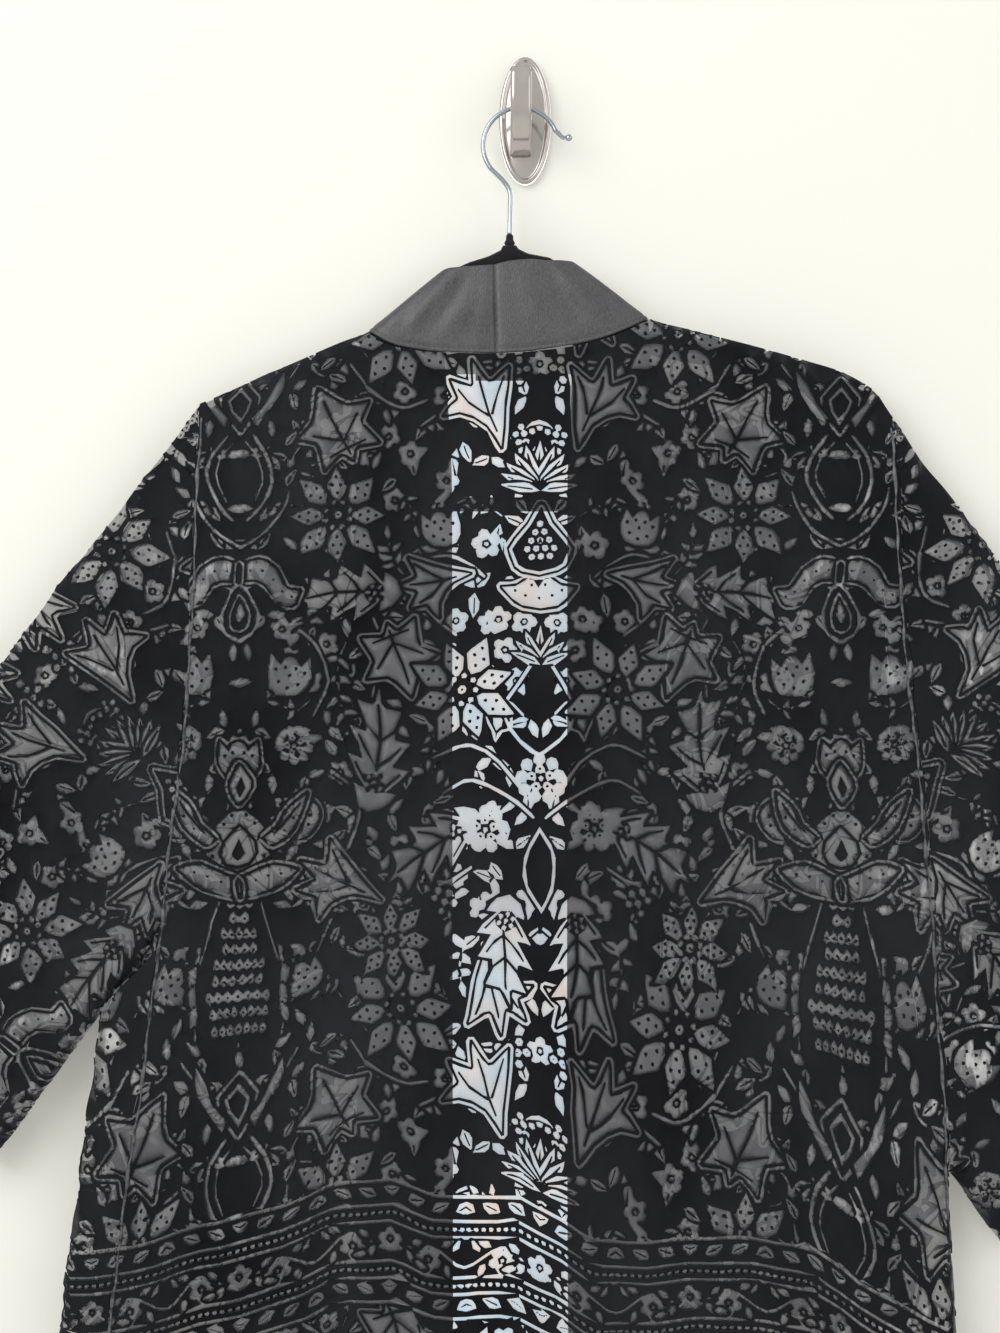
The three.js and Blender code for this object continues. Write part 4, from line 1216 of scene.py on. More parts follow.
# %% Large motifs on top
eye = Pen(floral, (0, 332))
eye_shape = symmetric([(0, -26), (9, -10), (9, 10), (0, 26)])
eye.guard(eye_shape, 1.8)
eye.ring(eye_shape, -1.8, 2.0)
lay_out(floral, [
    (curl, (10, 236), 30, 22), (curl, (140, 88), 80, 20, -1),
    (lily, (64, 152), 100, 44), (lily, (122, 338), 62, 52),
    (lily, (30, 402), 190, 50), (lily, (32, 44), 18, 54),
    (thistle, (96, 262), -18, 66), (thistle, (66, 312), 112, 62),
    (thistle, (26, 376), 168, 56), (thistle, (116, 156), 80, 58),
    (ivy, (126, 58), 28, 44), (ivy, (88, 200), 200, 42),
    (dotted_flower, (86, 0), 35, 10), (dotted_flower, (126, 112), 32, 0),
    (dotted_flower, (48, 220), 34, 20), (dotted_flower, (92, 376), 26, 5),
    (tulip, (156, 209), -6, 30), (tulip, (146, 394), 24, 25),
    (tulip, (150, 298), 52, 27, True), (tulip, (62, 118), 10, 27),
    (rose, (34, 306), 0, 14), (rose, (0, 276), 0, 15), (rose, (152, 254), 20, 11.5),
    (fan, (0, 98), 1.0, 6, 74, 32), (fan, (0, 206), 0.9, 4, 60, 28),
    (cup, (0, 156), 1.05),
    (tulip, (186, 262), 0, 27, True), (crown, (186, 46), 1.05), (arching_scroll, (186, 160), 1.12),
    (scaled_stem, (186, 346), 80, 8, 22), (palmette, (186, 330), 1.02),
])
print("burnt share of the floral ground", round(float((floral.depth < 0).mean()), 2))

# %% [markdown]
# ### The woven-looking border
# Towards the hem runs a border of lines, dots, slanted leaves and a vine. It is a second, narrower
# screen with its own short repeat.

# %% The border screen
BORDER_WIDTH = 46.0
BORDER_HEIGHT = 78.0
border = Screen(BORDER_WIDTH, BORDER_HEIGHT)
border_pen = Pen(border)
for level in (1.2, 16.0, 26.0, 50.0, 60.0, 74.6):
    border_pen.stroke([(-4, level), (BORDER_WIDTH + 4, level)], 2.3)
for u in np.arange(2.3, BORDER_WIDTH, 4.6):
    border_pen.dots([(u, 21.0), (u, 55.0)], 1.6, keep=False)
for u in np.arange(0, BORDER_WIDTH + 1, 15.33):
    for level in (11.4, 70.0):
        leaf(border, (u - 6.4, level - 0.6), 62, 13.4, 7.4, 0.4, vein=True)
vine_u = np.linspace(-8, BORDER_WIDTH + 8, 14)
border_pen.stroke([(u, 38 + 6.0 * math.cos(math.pi * u / BORDER_WIDTH * 2)) for u in vine_u], 2.0)
lay_out(border, [(blossom, (0, 37), 8.0), (blossom, (23, 40), 8.6, 36)])
for u, v, turn in ((9, 40, 140), (13, 36, 40), (33, 42, 150), (37, 35, 30), (14, 45, 90), (30, 32, 60)):
    leaf(border, (u, v), turn, 9.5, 5.0, 0.8)
print("burnt share of the border", round(float((border.depth < 0).mean()), 2))

# %% [markdown]
# ## From the screen to cut lines
# Marching squares finds where the map of distances passes through zero, which gives the edge of every
# burnt shape as a line. A line of pixels has far more points than it needs, so points that lie almost
# straight between their neighbours are left out.

# %% Edges of the burnt shapes
DOT = 3.8
DOT_SIDES = 5
NEARLY_ZERO = 1e-4
SLACK = 0.42
LONGEST = 13.0


def zero_crossings(a, b):
    """Where between neighbours a and b the depth is zero, from 0 to 1, or nan where it isn't."""
    cut = (a < 0) != (b < 0)
    return np.where(cut, a / np.where(cut, a - b, 1), np.nan)


def burnt_edges(screen):
    """Segments of the zero line, as pairs of grid sides, with the point on each side."""
    d = np.where(np.abs(screen.depth) < NEARLY_ZERO, NEARLY_ZERO, screen.depth)
    across_cut = np.full(d.shape, np.nan)
    down_cut = np.full(d.shape, np.nan)
    across_cut[:, :-1] = zero_crossings(d[:, :-1], d[:, 1:])
    down_cut[:-1] = zero_crossings(d[:-1], d[1:])
    links = {}
    points = {}

    def side_point(key):
        kind, j, i = key
        if kind == 0:
            return ((i + across_cut[j, i]) * SCREEN_PITCH, j * SCREEN_PITCH)
        return (i * SCREEN_PITCH, (j + down_cut[j, i]) * SCREEN_PITCH)

    low = d < 0
    mixed = low[:-1, :-1].astype(int) + low[:-1, 1:] + low[1:, 1:] + low[1:, :-1]
    for j, i in zip(*np.nonzero((mixed > 0) & (mixed < 4))):
        keys = [(0, j, i), (1, j, i + 1), (0, j + 1, i), (1, j, i)]
        cuts = [across_cut[j, i], down_cut[j, i + 1], across_cut[j + 1, i], down_cut[j, i]]
        crossed = [key for key, cut in zip(keys, cuts) if cut == cut]
        if len(crossed) == 4 and low[j, i] == (d[j : j + 2, i : i + 2].mean() < 0):
            crossed = [crossed[0], crossed[3], crossed[1], crossed[2]]
        for first, second in zip(crossed[::2], crossed[1::2]):
            for key, other in ((first, second), (second, first)):
                links.setdefault(key, []).append(other)
                points[key] = side_point(key)
    return links, points


def chains(links, points):
    """The edges strung together: open lines first, which end on the screen's rim, then closed ones."""
    left = {key: list(ends) for key, ends in links.items()}
    found = []
    starts = [key for key, ends in links.items() if len(ends) == 1]
    for key in starts + list(links):
        if not left[key]:
            continue
        way = [key]
        while left[way[-1]]:
            ahead = left[way[-1]].pop()
            left[ahead].remove(way[-1])
            way.append(ahead)
        if len(way) > 2:
            found.append(np.array([points[k] for k in way]))
    return found


def thin_out(points):
    """Leaves out points that lie nearly straight between the ones that are kept."""
    closed = np.allclose(points[0], points[-1])
    if closed and np.ptp(points, axis=0).max() < DOT:
        return points[np.linspace(0, len(points) - 1, DOT_SIDES + 1).round().astype(int)]
    kept = [0]
    start = 0
    for i in range(2, len(points)):
        a, b = points[start], points[i]
        step = b - a
        size = math.hypot(*step) + 1e-9
        between = points[start + 1 : i] - a
        off = np.abs(between[:, 0] * step[1] - between[:, 1] * step[0]).max() / size
        if off > SLACK or size > LONGEST:
            kept.append(i - 1)
            start = i - 1
    kept.append(len(points) - 1)
    return points[kept]


def cut_lines(screen):
    lines = [thin_out(points) for points in chains(*burnt_edges(screen))]
    lines = [points for points in lines if len(points) > 3 or np.ptp(points, axis=0).max() > 1.5]
    print(len(lines), "lines with", sum(map(len, lines)), "points")
    return lines


floral_lines = cut_lines(floral)
border_lines = cut_lines(border)

# %% [markdown]
# ### Printing the screens on the cloth
# The cloth's own coordinates run across and up it before it is hung. Hanging shifts the print: towards
# the hem the left and the right side have dropped, so the border waves. A sleeve carries the same
# print turned with it, because the drop shoulder lets the whole sleeve swing down.

# %% Where the print lies on the hung cloth
PRINT_AXIS = 9.0
PRINT_TOP = -140.0
BORDER_TOP = -664.0
LAST_BORDER_TOP = -1082.0
DROP_START = -430.0
DROP_RUN = 250.0
DROPS = sizes("x drop", [
    [-330, 46], [-252, 40], [-223, 32], [-197, 24], [-165, 17], [-137, 7], [-112, -2], [-83, -3],
    [-59, 5], [-36, 7], [-8, 7], [6, 14], [21, 20], [34, 28], [44, 33], [73, 35], [133, 32],
    [170, 37], [189, 48], [209, 63], [230, 74], [265, 90], [330, 96],
])
print_drop = curve(DROPS, "x", "drop")


def drop_share(z):
    """How much of its drop the print has at a height: none at the shoulders, all near the border."""
    return ease((DROP_START - z) / DROP_RUN) ** 1.5


class Print:
    """The print of one layer: (u, v) on the screen from (x, z) on the hung layer, and back again."""

    def __init__(self, pivot=(0.0, 0.0), turn=0.0, shift=(0.0, 0.0), waves=True):
        self.pivot = np.array(pivot)
        a = math.radians(turn)
        self.turn = np.array([[math.cos(a), -math.sin(a)], [math.sin(a), math.cos(a)]])
        self.shift = np.array(shift)
        self.waves = waves

    def to_hung(self, flat):
        """Cloth coordinates, x and z before hanging, to the hung layer."""
        hung = (flat - self.pivot) @ self.turn.T + self.pivot
        if self.waves:
            hung[:, 1] -= print_drop(hung[:, 0]) * drop_share(flat[:, 1])
        return hung

    def to_flat(self, hung):
        flat = hung.copy()
        if self.waves:
            for _ in range(12):
                flat[:, 1] = hung[:, 1] + print_drop(hung[:, 0]) * drop_share(flat[:, 1])
        return (flat - self.pivot) @ self.turn + self.pivot

    def screen_u(self, x):
        return x - PRINT_AXIS + self.shift[0]

    def depth(self, hung):
        flat = self.to_flat(hung)
        u = self.screen_u(flat[:, 0])
        z = flat[:, 1] + self.shift[1]
        depth = floral.sample(u, PRINT_TOP - z)
        for top in (BORDER_TOP, LAST_BORDER_TOP):
            within = (z < top) & (z > top - BORDER_HEIGHT)
            depth = np.where(within, border.sample(u, top - z), depth)
        return depth

    def lines(self, low, high):
        """Every cut line that may fall in the box from low to high, on the hung layer."""
        corners = np.array([(x, z) for x in (low[0], high[0]) for z in (low[1] - 60, high[1] + 100)])
        corners = (corners - self.pivot) @ self.turn + self.pivot
        flat_low, flat_high = corners.min(0) - 10, corners.max(0) + 10
        found = []
        floral_top = PRINT_TOP - self.shift[1]
        for line in copies(floral_lines, floral, self, floral_top, flat_low, flat_high):
            z = line[:, 1] + self.shift[1]
            clear = np.ones(len(z), bool)
            for top in (BORDER_TOP, LAST_BORDER_TOP):
                clear &= (z > top - 1.2) | (z < top - BORDER_HEIGHT + 3.4)
            found += runs_of(line, clear)
        for top in (BORDER_TOP, LAST_BORDER_TOP):
            span = (np.array([flat_low[0], top - self.shift[1] - BORDER_HEIGHT + 1]), flat_high)
            if flat_low[1] > top - self.shift[1]:
                continue
            found += copies(border_lines, border, self, top - self.shift[1], *span, once=True)
        return [self.to_hung(line) for line in found]


def runs_of(line, keep):
    """The stretches of a line where keep is true."""
    if keep.all():
        return [line]
    ends = np.flatnonzero(np.diff(np.concatenate([[0], keep.astype(int), [0]])))
    return [line[a:b] for a, b in zip(ends[::2], ends[1::2]) if b - a > 1]


def copies(lines, screen, layout, top, low, high, once=False):
    """The screen's lines mirrored across the cloth and repeated down it."""
    width, height = screen.width, screen.height
    reach = np.sort([layout.screen_u(low[0]), layout.screen_u(high[0])])
    across_range = range(math.floor(reach[0] / width), math.floor(reach[1] / width) + 1)
    first = math.floor((top - high[1]) / height)
    last = math.floor((top - low[1]) / height)
    down_range = [0] if once else range(first, last + 1)
    made = []
    for column in across_range:
        for row in down_range:
            for line in lines:
                u = column * width + (line[:, 0] if column % 2 == 0 else width - line[:, 0])
                x = u - layout.shift[0] + PRINT_AXIS
                z = top - row * height - line[:, 1]
                if x.max() < low[0] or x.min() > high[0] or z.max() < low[1] or z.min() > high[1]:
                    continue
                made.append(np.column_stack([x, z]))
    return made


BODY_PRINT = Print()
FRONT_PRINT = Print(shift=(93.0, 120.0))
LEFT_SLEEVE_PRINT = Print(pivot=(CORNER_LEFT, -183.0), turn=50, shift=(30.0, 60.0), waves=False)
RIGHT_SLEEVE_PRINT = Print(pivot=(CORNER_RIGHT, -190.0), turn=-50, shift=(-30.0, 60.0), waves=False)
print("the print drops by", round(float(print_drop(300.0)) - float(print_drop(-8.0))), "mm at the right side")

# %% [markdown]
# ## Cutting the cloth along its print
# A constrained triangulation fills an outline with triangles and keeps every line that it is given.
# Extra points every few millimetres let the flat layer bend once it is hung. Each triangle is then
# pile or bare ground.

# %% Cutting one layer
NET = 11.0


def fill_points(outline_points, spacing):
    """A staggered net of points over the outline's box."""
    low, high = outline_points.min(0), outline_points.max(0)
    net = []
    for i, z in enumerate(np.arange(low[1], high[1], spacing * 0.866)):
        x = np.arange(low[0] + (i % 2) * spacing / 2, high[0], spacing)
        net.append(np.column_stack([x, np.full(len(x), z)]))
    return np.concatenate(net)


def inside(points, outline_points):
    """Which points lie inside a closed outline."""
    result = np.zeros(len(points), bool)
    x, z = points[:, 0], points[:, 1]
    ends = np.roll(outline_points, -1, axis=0)
    for (ax, az), (bx, bz) in zip(outline_points, ends):
        if az == bz:
            continue
        crosses = (az > z) != (bz > z)
        at = ax + (z - az) * (bx - ax) / (bz - az)
        result ^= crosses & (x < at)
    return result


def crowded(net, points, room):
    """Which net points have a drawn point within about `room`."""
    cells = set(map(tuple, np.floor(points / room).astype(int)))
    own = np.floor(net / room).astype(int)
    return np.array([tuple(cell) in cells for cell in own])


def cut_layer(outline_points, layout):
    """A flat layer cut along its print: points, triangles, which are pile and which are raised."""
    low, high = outline_points.min(0), outline_points.max(0)
    drawn = layout.lines(low, high)
    points = [outline_points]
    small = [np.zeros(len(outline_points), bool)]
    count = len(outline_points)
    edges = [(i, (i + 1) % count) for i in range(count)]
    within = inside(np.concatenate(drawn), outline_points)
    ends = np.cumsum([len(way) for way in drawn])
    for way, keep in zip(drawn, np.split(within, ends[:-1])):
        if not keep.any():
            continue
        wide = keep.copy()
        wide[1:] |= keep[:-1]
        wide[:-1] |= keep[1:]
        for run in runs_of(way, wide):
            edges += [(count + i, count + i + 1) for i in range(len(run) - 1)]
            points.append(run)
            small.append(np.full(len(run), np.ptp(run, axis=0).max() < DOT))
            count += len(run)
    drawn_points = np.concatenate(points)
    net = fill_points(outline_points, NET)
    net = net[inside(net, outline_points)]
    net = net[~crowded(net, drawn_points, NET * 0.45)]
    everything = np.concatenate([drawn_points, net])
    vectors = [Vector(p) for p in everything.tolist()]
    flat, _, faces, sources, *_ = delaunay_2d_cdt(vectors, edges, [], 0, 0.02)
    flat = np.array(flat)
    small = np.concatenate(small + [np.zeros(len(net), bool)])
    small = np.array([bool(source) and small[source[0]] for source in sources])
    faces = np.array([face for face in faces if len(face) == 3])
    middles = flat[faces].mean(1)
    within = inside(middles, outline_points)
    faces, middles = faces[within], middles[within]
    pile = layout.depth(middles) > 0
    return flat, faces, pile, pile & ~small[faces].all(axis=1)


print("net of points every", NET, "mm")

# %% [markdown]
# ## Hanging a layer and raising its pile
# The flat layer takes its depth from the surfaces above. Its pile is lifted along the direction in which
# the cloth looks, and a narrow wall joins the two levels, so the burnt pattern is real relief. A bump
# in the material would be cheaper, but it wouldn't show at the folds.

# %% Hanging and raising
PILE_HEIGHT = 0.9
STEEPEST = 1.5


def creep(x, z):
    """Small uneven shifts within the cloth, which leave no edge quite straight. None at the neck."""
    loose = ease((-152 - z) / 16)
    aside = 0.55 * np.sin(z / 5.7 + 0.8 * np.sin(x / 23)) + 0.45 * np.sin(z / 13.3 + 2.0)
    up = 0.5 * np.sin(x / 6.9 + np.sin(z / 19)) + 0.45 * np.sin(x / 15.1 + 1.0)
    return aside * loose, up * loose


def outward(flat, height, towards):
    """The hung layer's points and the direction in which each one looks out."""
    x, z = flat[:, 0], flat[:, 1]
    y = height(x, z)
    step = 1.5
    slope_x = np.clip((height(x + step, z) - height(x - step, z)) / (2 * step), -STEEPEST, STEEPEST)
    slope_z = np.clip((height(x, z + step) - height(x, z - step)) / (2 * step), -STEEPEST, STEEPEST)
    out = np.column_stack([-slope_x, np.ones(len(x)), -slope_z]) * towards
    out /= np.linalg.norm(out, axis=1)[:, None]
    aside, up = creep(x, z)
    return np.column_stack([x + aside, y, z + up]), out


def raise_pile(flat, faces, pile, lifted, height, towards):
    """Two levels, ground and pile, joined along every cut line. Small dots of pile stay low."""
    base, out = outward(flat, height, towards)
    a, b, c = (flat[faces[:, i]] for i in range(3))
    turn = (b - a)[:, 0] * (c - a)[:, 1] - (b - a)[:, 1] * (c - a)[:, 0]
    flip = (turn > 0) != (towards < 0)
    faces = faces.copy()
    faces[flip] = faces[flip][:, ::-1]
    count = len(base)
    points = np.concatenate([base, base + out * PILE_HEIGHT])
    high = faces[lifted] + count
    low = faces[~lifted]
    low_edges = {(face[i], face[(i + 1) % 3]) for face in low for i in range(3)}
    walls = []
    for face in faces[lifted]:
        for i in range(3):
            start, end = face[i], face[(i + 1) % 3]
            if (end, start) in low_edges:
                walls.append((end, start, start + count))
                walls.append((end, start + count, end + count))
    walls = np.array(walls, int).reshape(-1, 3)
    triangles = np.concatenate([high, walls, low])
    bare = np.concatenate([np.zeros(len(high) + len(walls), int), (~pile[~lifted]).astype(int)])
    used, triangles = np.unique(triangles, return_inverse=True)
    return points[used], triangles.reshape(-1, 3), bare


print("pile stands", PILE_HEIGHT, "mm over the ground")

# %% [markdown]
# ## From layers to pieces
# A piece of clothing is one mesh with two finishes. Blender takes big meshes fastest as whole arrays of
# points, corners and faces, which `foreach_set` fills in one go. Every piece then rides on the robe's
# one body and takes the place of its plain solid.

# %% Pieces of the robe


def new_piece(name, mesh, *materials):
    """An object in the scene from a finished mesh."""
    mesh.shade_smooth()
    for material in materials:
        mesh.materials.append(material)
    piece = bpy.data.objects.new(name, mesh)
    bpy.context.scene.collection.objects.link(piece)
    return piece


def belongs(piece, slot, *nodes):
    """A piece on the robe's one body, in place of the solid it stands for. Its slot is not used."""
    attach(piece, "root")
    if nodes:
        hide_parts(*nodes)
    print(piece.name, len(piece.data.polygons), "faces")
    return piece


def cloth_mesh(name, layers):
    """One mesh from several layers. Each layer is points, triangles and a material for each."""
    starts = np.cumsum([0] + [len(points) for points, _, _ in layers])
    points = np.concatenate([points for points, _, _ in layers]) * MM
    faces = np.concatenate([faces + start for (_, faces, _), start in zip(layers, starts)])
    slots = np.concatenate([slots for _, _, slots in layers])
    mesh = bpy.data.meshes.new(name)
    mesh.vertices.add(len(points))
    mesh.vertices.foreach_set("co", points.ravel())
    mesh.loops.add(faces.size)
    mesh.loops.foreach_set("vertex_index", faces.ravel())
    mesh.polygons.add(len(faces))
    mesh.polygons.foreach_set("loop_start", np.arange(0, faces.size, 3))
    mesh.polygons.foreach_set("loop_total", np.full(len(faces), 3))
    mesh.polygons.foreach_set("material_index", slots)
    mesh.update(calc_edges=True)
    mesh.validate()
    return mesh


def cloth(name, node, flat_size, area, *layers):
    """A layer is its outline, its surface, the side of it that shows, and its print."""
    made = [raise_pile(*cut_layer(edge, layout), height, side) for edge, height, side, layout in layers]
    piece = new_piece(name, cloth_mesh(name, made), pile_finish, sheer_finish)
    belongs(piece, "velvet", node)


print("finishes of a velvet piece:", pile_finish.name, "and", sheer_finish.name)

# %% [markdown]
# ## The five velvet pieces
# A maker cuts a back, two fronts and two sleeves. The left front wraps a little way round to the back,
# so it has a second, narrow layer there. A sleeve is a tube, which hangs as two layers. Each piece is
# given with the size and area of its flat cut in metres.

# %% The five velvet pieces
cloth("back_cloth", "back_panel", (0.60, 1.10), 0.52, (BACK_OUTLINE, back_y, -1, BODY_PRINT))
cloth(
    "right_front_cloth", "front_right", (0.24, 1.10), 0.18,
    (RIGHT_FRONT_OUTLINE, front_y, 1, FRONT_PRINT),
)
cloth(
    "left_front_cloth", "front_left", (0.26, 1.10), 0.19,
    (LEFT_FRONT_OUTLINE, left_front_y, 1, FRONT_PRINT),
    (LEFT_WRAP_OUTLINE, wrap_y, -1, BODY_PRINT),
)
cloth(
    "left_sleeve_cloth", "sleeve_left", (0.44, 0.76), 0.115,
    (LEFT_SLEEVE_BACK, sleeve_y(LEFT_SLEEVE, -1), -1, LEFT_SLEEVE_PRINT),
    (LEFT_SLEEVE_FRONT, sleeve_y(LEFT_SLEEVE, 1), 1, LEFT_SLEEVE_PRINT),
)
cloth(
    "right_sleeve_cloth", "sleeve_right", (0.44, 0.94), 0.14,
    (RIGHT_SLEEVE_BACK, sleeve_y(RIGHT_SLEEVE, -1), -1, RIGHT_SLEEVE_PRINT),
    (RIGHT_SLEEVE_FRONT, sleeve_y(RIGHT_SLEEVE, 1), 1, RIGHT_SLEEVE_PRINT),
)

# %% [markdown]
# ## A skin over loops of points
# The neckband, the wire, the label and the wall hook's arm are all loops of points, one after another
# along the piece. One helper joins neighbouring loops with quads and closes both ends, which leaves a
# closed mesh whose rows can be as fine as the shape needs.

# %% Skin over loops


def ring_faces(rows, around, start=0):
    """Quads between neighbouring rings of points, and a face on each end."""
    faces = []
    for r in range(start, start + (rows - 1) * around, around):
        for c in range(around):
            d = (c + 1) % around
            faces.append((r + c, r + d, r + around + d, r + around + c))
    last = start + (rows - 1) * around
    return faces + [tuple(range(start, start + around))[::-1], tuple(range(last, last + around))]


def skin(name, loops, material):
    """A closed piece over loops of points, without points that lie on each other."""
    loops = np.array(loops, float)
    mesh = bpy.data.meshes.new(name)
    mesh.from_pydata((loops.reshape(-1, 3) * MM).tolist(), [], ring_faces(*loops.shape[:2]))
    mesh.validate()
    tidy = bmesh.new()
    tidy.from_mesh(mesh)
    bmesh.ops.remove_doubles(tidy, verts=tidy.verts, dist=1e-6)
    bmesh.ops.recalc_face_normals(tidy, faces=tidy.faces)
    tidy.to_mesh(mesh)
    tidy.free()
    return new_piece(name, mesh, material)


def way_along(points):
    """How far each point is from the first one, along the line."""
    return np.concatenate([[0], np.cumsum(np.linalg.norm(np.diff(points, axis=0), axis=1))])


def along(stations, count):
    """Stations, one row of numbers each, spaced evenly by their way and smoothed between."""
    stations = np.array(stations, float)
    rows = {str(i): column for i, column in enumerate(stations.T)}
    rows["way"] = way_along(stations[:, :3])
    at = np.linspace(0, rows["way"][-1], count)
    return np.column_stack([curve(rows, "way", str(i))(at) for i in range(stations.shape[1])])


def tube(path, radius, sides=20):
    """Rings round a path in 3-D, with radius a number or one number for each point."""
    path = np.array(path, float)
    radii = np.broadcast_to(radius, len(path))
    ahead = np.gradient(path, axis=0)
    ahead /= np.linalg.norm(ahead, axis=1)[:, None]
    first = np.cross(ahead, (0, 1, 0))
    first /= np.linalg.norm(first, axis=1)[:, None]
    second = np.cross(ahead, first)
    angle = np.linspace(0, 2 * math.pi, sides, endpoint=False)
    ring = np.cos(angle)[:, None] * first[:, None] + np.sin(angle)[:, None] * second[:, None]
    return path[:, None] + ring * radii[:, None, None]


print("a box of two loops has", len(ring_faces(2, 4)), "faces")

# %% [markdown]
# ## The satin neckband
# The neckband is satin folded double along its free edge and sewn to the neck and fronts. Its two
# halves meet in a seam at the centre back. Each station along it gives the two edges of its outer and
# its inner face. The folded edge is rolled, the sewn edge is tight, and the satin puckers a little
# along the stitching and creases where it bends round the neck.

# %% Neckband sizes
SATIN_WALL = 2.4
LEFT_NECK = sizes("seam_x seam_z free_x free_z seam_lie free_lie", [
    [-18.5, -151.2, -19.55, -95.8, -1, -1],
    [-34.4, -150.9, -28.2, -96.4, -1, -1],
    [-53, -150.1, -37, -97, -1, -1],
    [-71.6, -147.9, -43.7, -97.3, -1, -0.9],
    [-84.4, -144.6, -48, -97.4, -1, -0.7],
    [-93.6, -139.2, -50.4, -98, -0.93, -0.36],
    [-96.6, -136.9, -51.4, -98.6, -0.55, -0.15],
    [-97.7, -135.8, -51.8, -99.2, 0, 0],
])
RIGHT_NECK = sizes("seam_x seam_z free_x free_z seam_lie free_lie", [
    [-18.65, -151.2, -19.7, -95.8, -1, -1],
    [-1, -150.2, -8, -93.2, -1, -1],
    [19.5, -147.4, 4, -92.4, -1, -1],
    [40, -143.7, 14, -92.9, -1, -0.9],
    [56, -138.7, 22, -92.6, -1, -0.7],
    [67, -133.8, 27, -92.6, -0.93, -0.36],
    [75, -129.2, 29.4, -93, -0.55, -0.15],
    [77.2, -127.8, 30.2, -94.4, 0, 0],
])
NECK_DROPS = sizes("seam free", [[2, 2], [5, 5], [12, 13], [27, 28], [60, 76]])
LEVELS = [-230, -280, -330, -380, -430, -519, -594, -659, -756, -860, -960, -1060, HEM]
NECK_CREASES = sizes(FOLD, [
    [-40, -98, -84, -142, 9, 1.5],
    [-34, -99, -60, -140, 7, -1.4],
    [-58, -104, -86, -146, 6, -1.1],
    [-26, -112, -60, -147, 9, 0.9],
    [-12, -96, 14, -126, 10, 1.0],
    [8, -94, 40, -140, 8, -1.4],
    [14, -93, 56, -138, 9, 1.5],
    [24, -96, 68, -130, 6, -1.1],
    [-6, -118, 30, -147, 9, 0.9],
    [-24, -100, -27, -148, 7, 0.8],
])


def band_stations(neck, edge_at, free_at, side):
    """Rows of outer seam, outer free, inner seam and inner free points."""
    shoulder = {name: column[-1] for name, column in neck.items()}
    fall = (shoulder["free_x"] - shoulder["seam_x"], shoulder["free_z"] - shoulder["seam_z"])
    slope = math.hypot(*fall)
    inward = (side * fall[1] / slope, -abs(fall[0]) / slope)
    rows = []

    def add(seam, free, lies, half):
        row = []
        for inset in (0, SATIN_WALL):
            for (x, z), lie in zip((seam, free), lies):
                over = math.sqrt(max(0.0, 1 - lie * lie)) * inset
                row += [x + inward[0] * over, HANGING_PLANE + lie * (half - inset), z + inward[1] * over]
        rows.append(row)

    for sx, sz, fx, fz, sl, fl in zip(*neck.values()):
        add((sx, sz), (fx, fz), (sl, fl), CREST_RADIUS)
    for seam_drop, free_drop in zip(*NECK_DROPS.values()):
        sz, fz = shoulder["seam_z"] - seam_drop, shoulder["free_z"] - free_drop
        lies = [float(round_off(drop / CREST_RADIUS)) for drop in (seam_drop, free_drop)]
        add((float(edge_at(sz)), sz), (float(free_at(fz)), fz), lies, float(front_half(sz)))
    for z in LEVELS:
        x = np.array([float(edge_at(z)), float(free_at(z))])
        y = front_y(x, np.full(2, float(z)))
        rows.append([x[0], y[0], z, x[1], y[1], z, x[0], y[0] - SATIN_WALL, z, x[1], y[1] - SATIN_WALL, z])
    return rows


for neck in (LEFT_NECK, RIGHT_NECK):
    print("neckband stations", len(neck["seam_x"]), len(NECK_DROPS["seam"]), len(LEVELS))

# %% [markdown]
# Between its stations the band is a folded strip. Its section runs over the outer face from the sewn
# edge, round the rolled fold and back along the inner face. What the satin does on top of that is a
# sum of small waves along it: puckers at the stitches, a groove, creases and a slow sway.

# %% Satin between its edges
OUTER_SHARES = [0.012, 0.03, 0.05, 0.07, 0.1, 0.16, 0.25, 0.35, 0.45, 0.55, 0.65, 0.75, 0.84, 0.91, 0.96]
ROLL = [(0.985, 0.06), (0.996, 0.2), (1.0, 0.5), (0.996, 0.8), (0.985, 0.94)]
BAND_SECTION = [(share, 0.0) for share in OUTER_SHARES] + ROLL
BAND_SECTION += [(share, 1.0) for share in OUTER_SHARES[::-2]] + [(0.0, 0.75), (0.0, 0.25)]
BAND_ROWS = 260
STITCH_SHARE = 0.05
MIDDLE_SHARE = 0.45
INNER_MIDDLE = -8
CENTRE_SEAM_X = -19.1


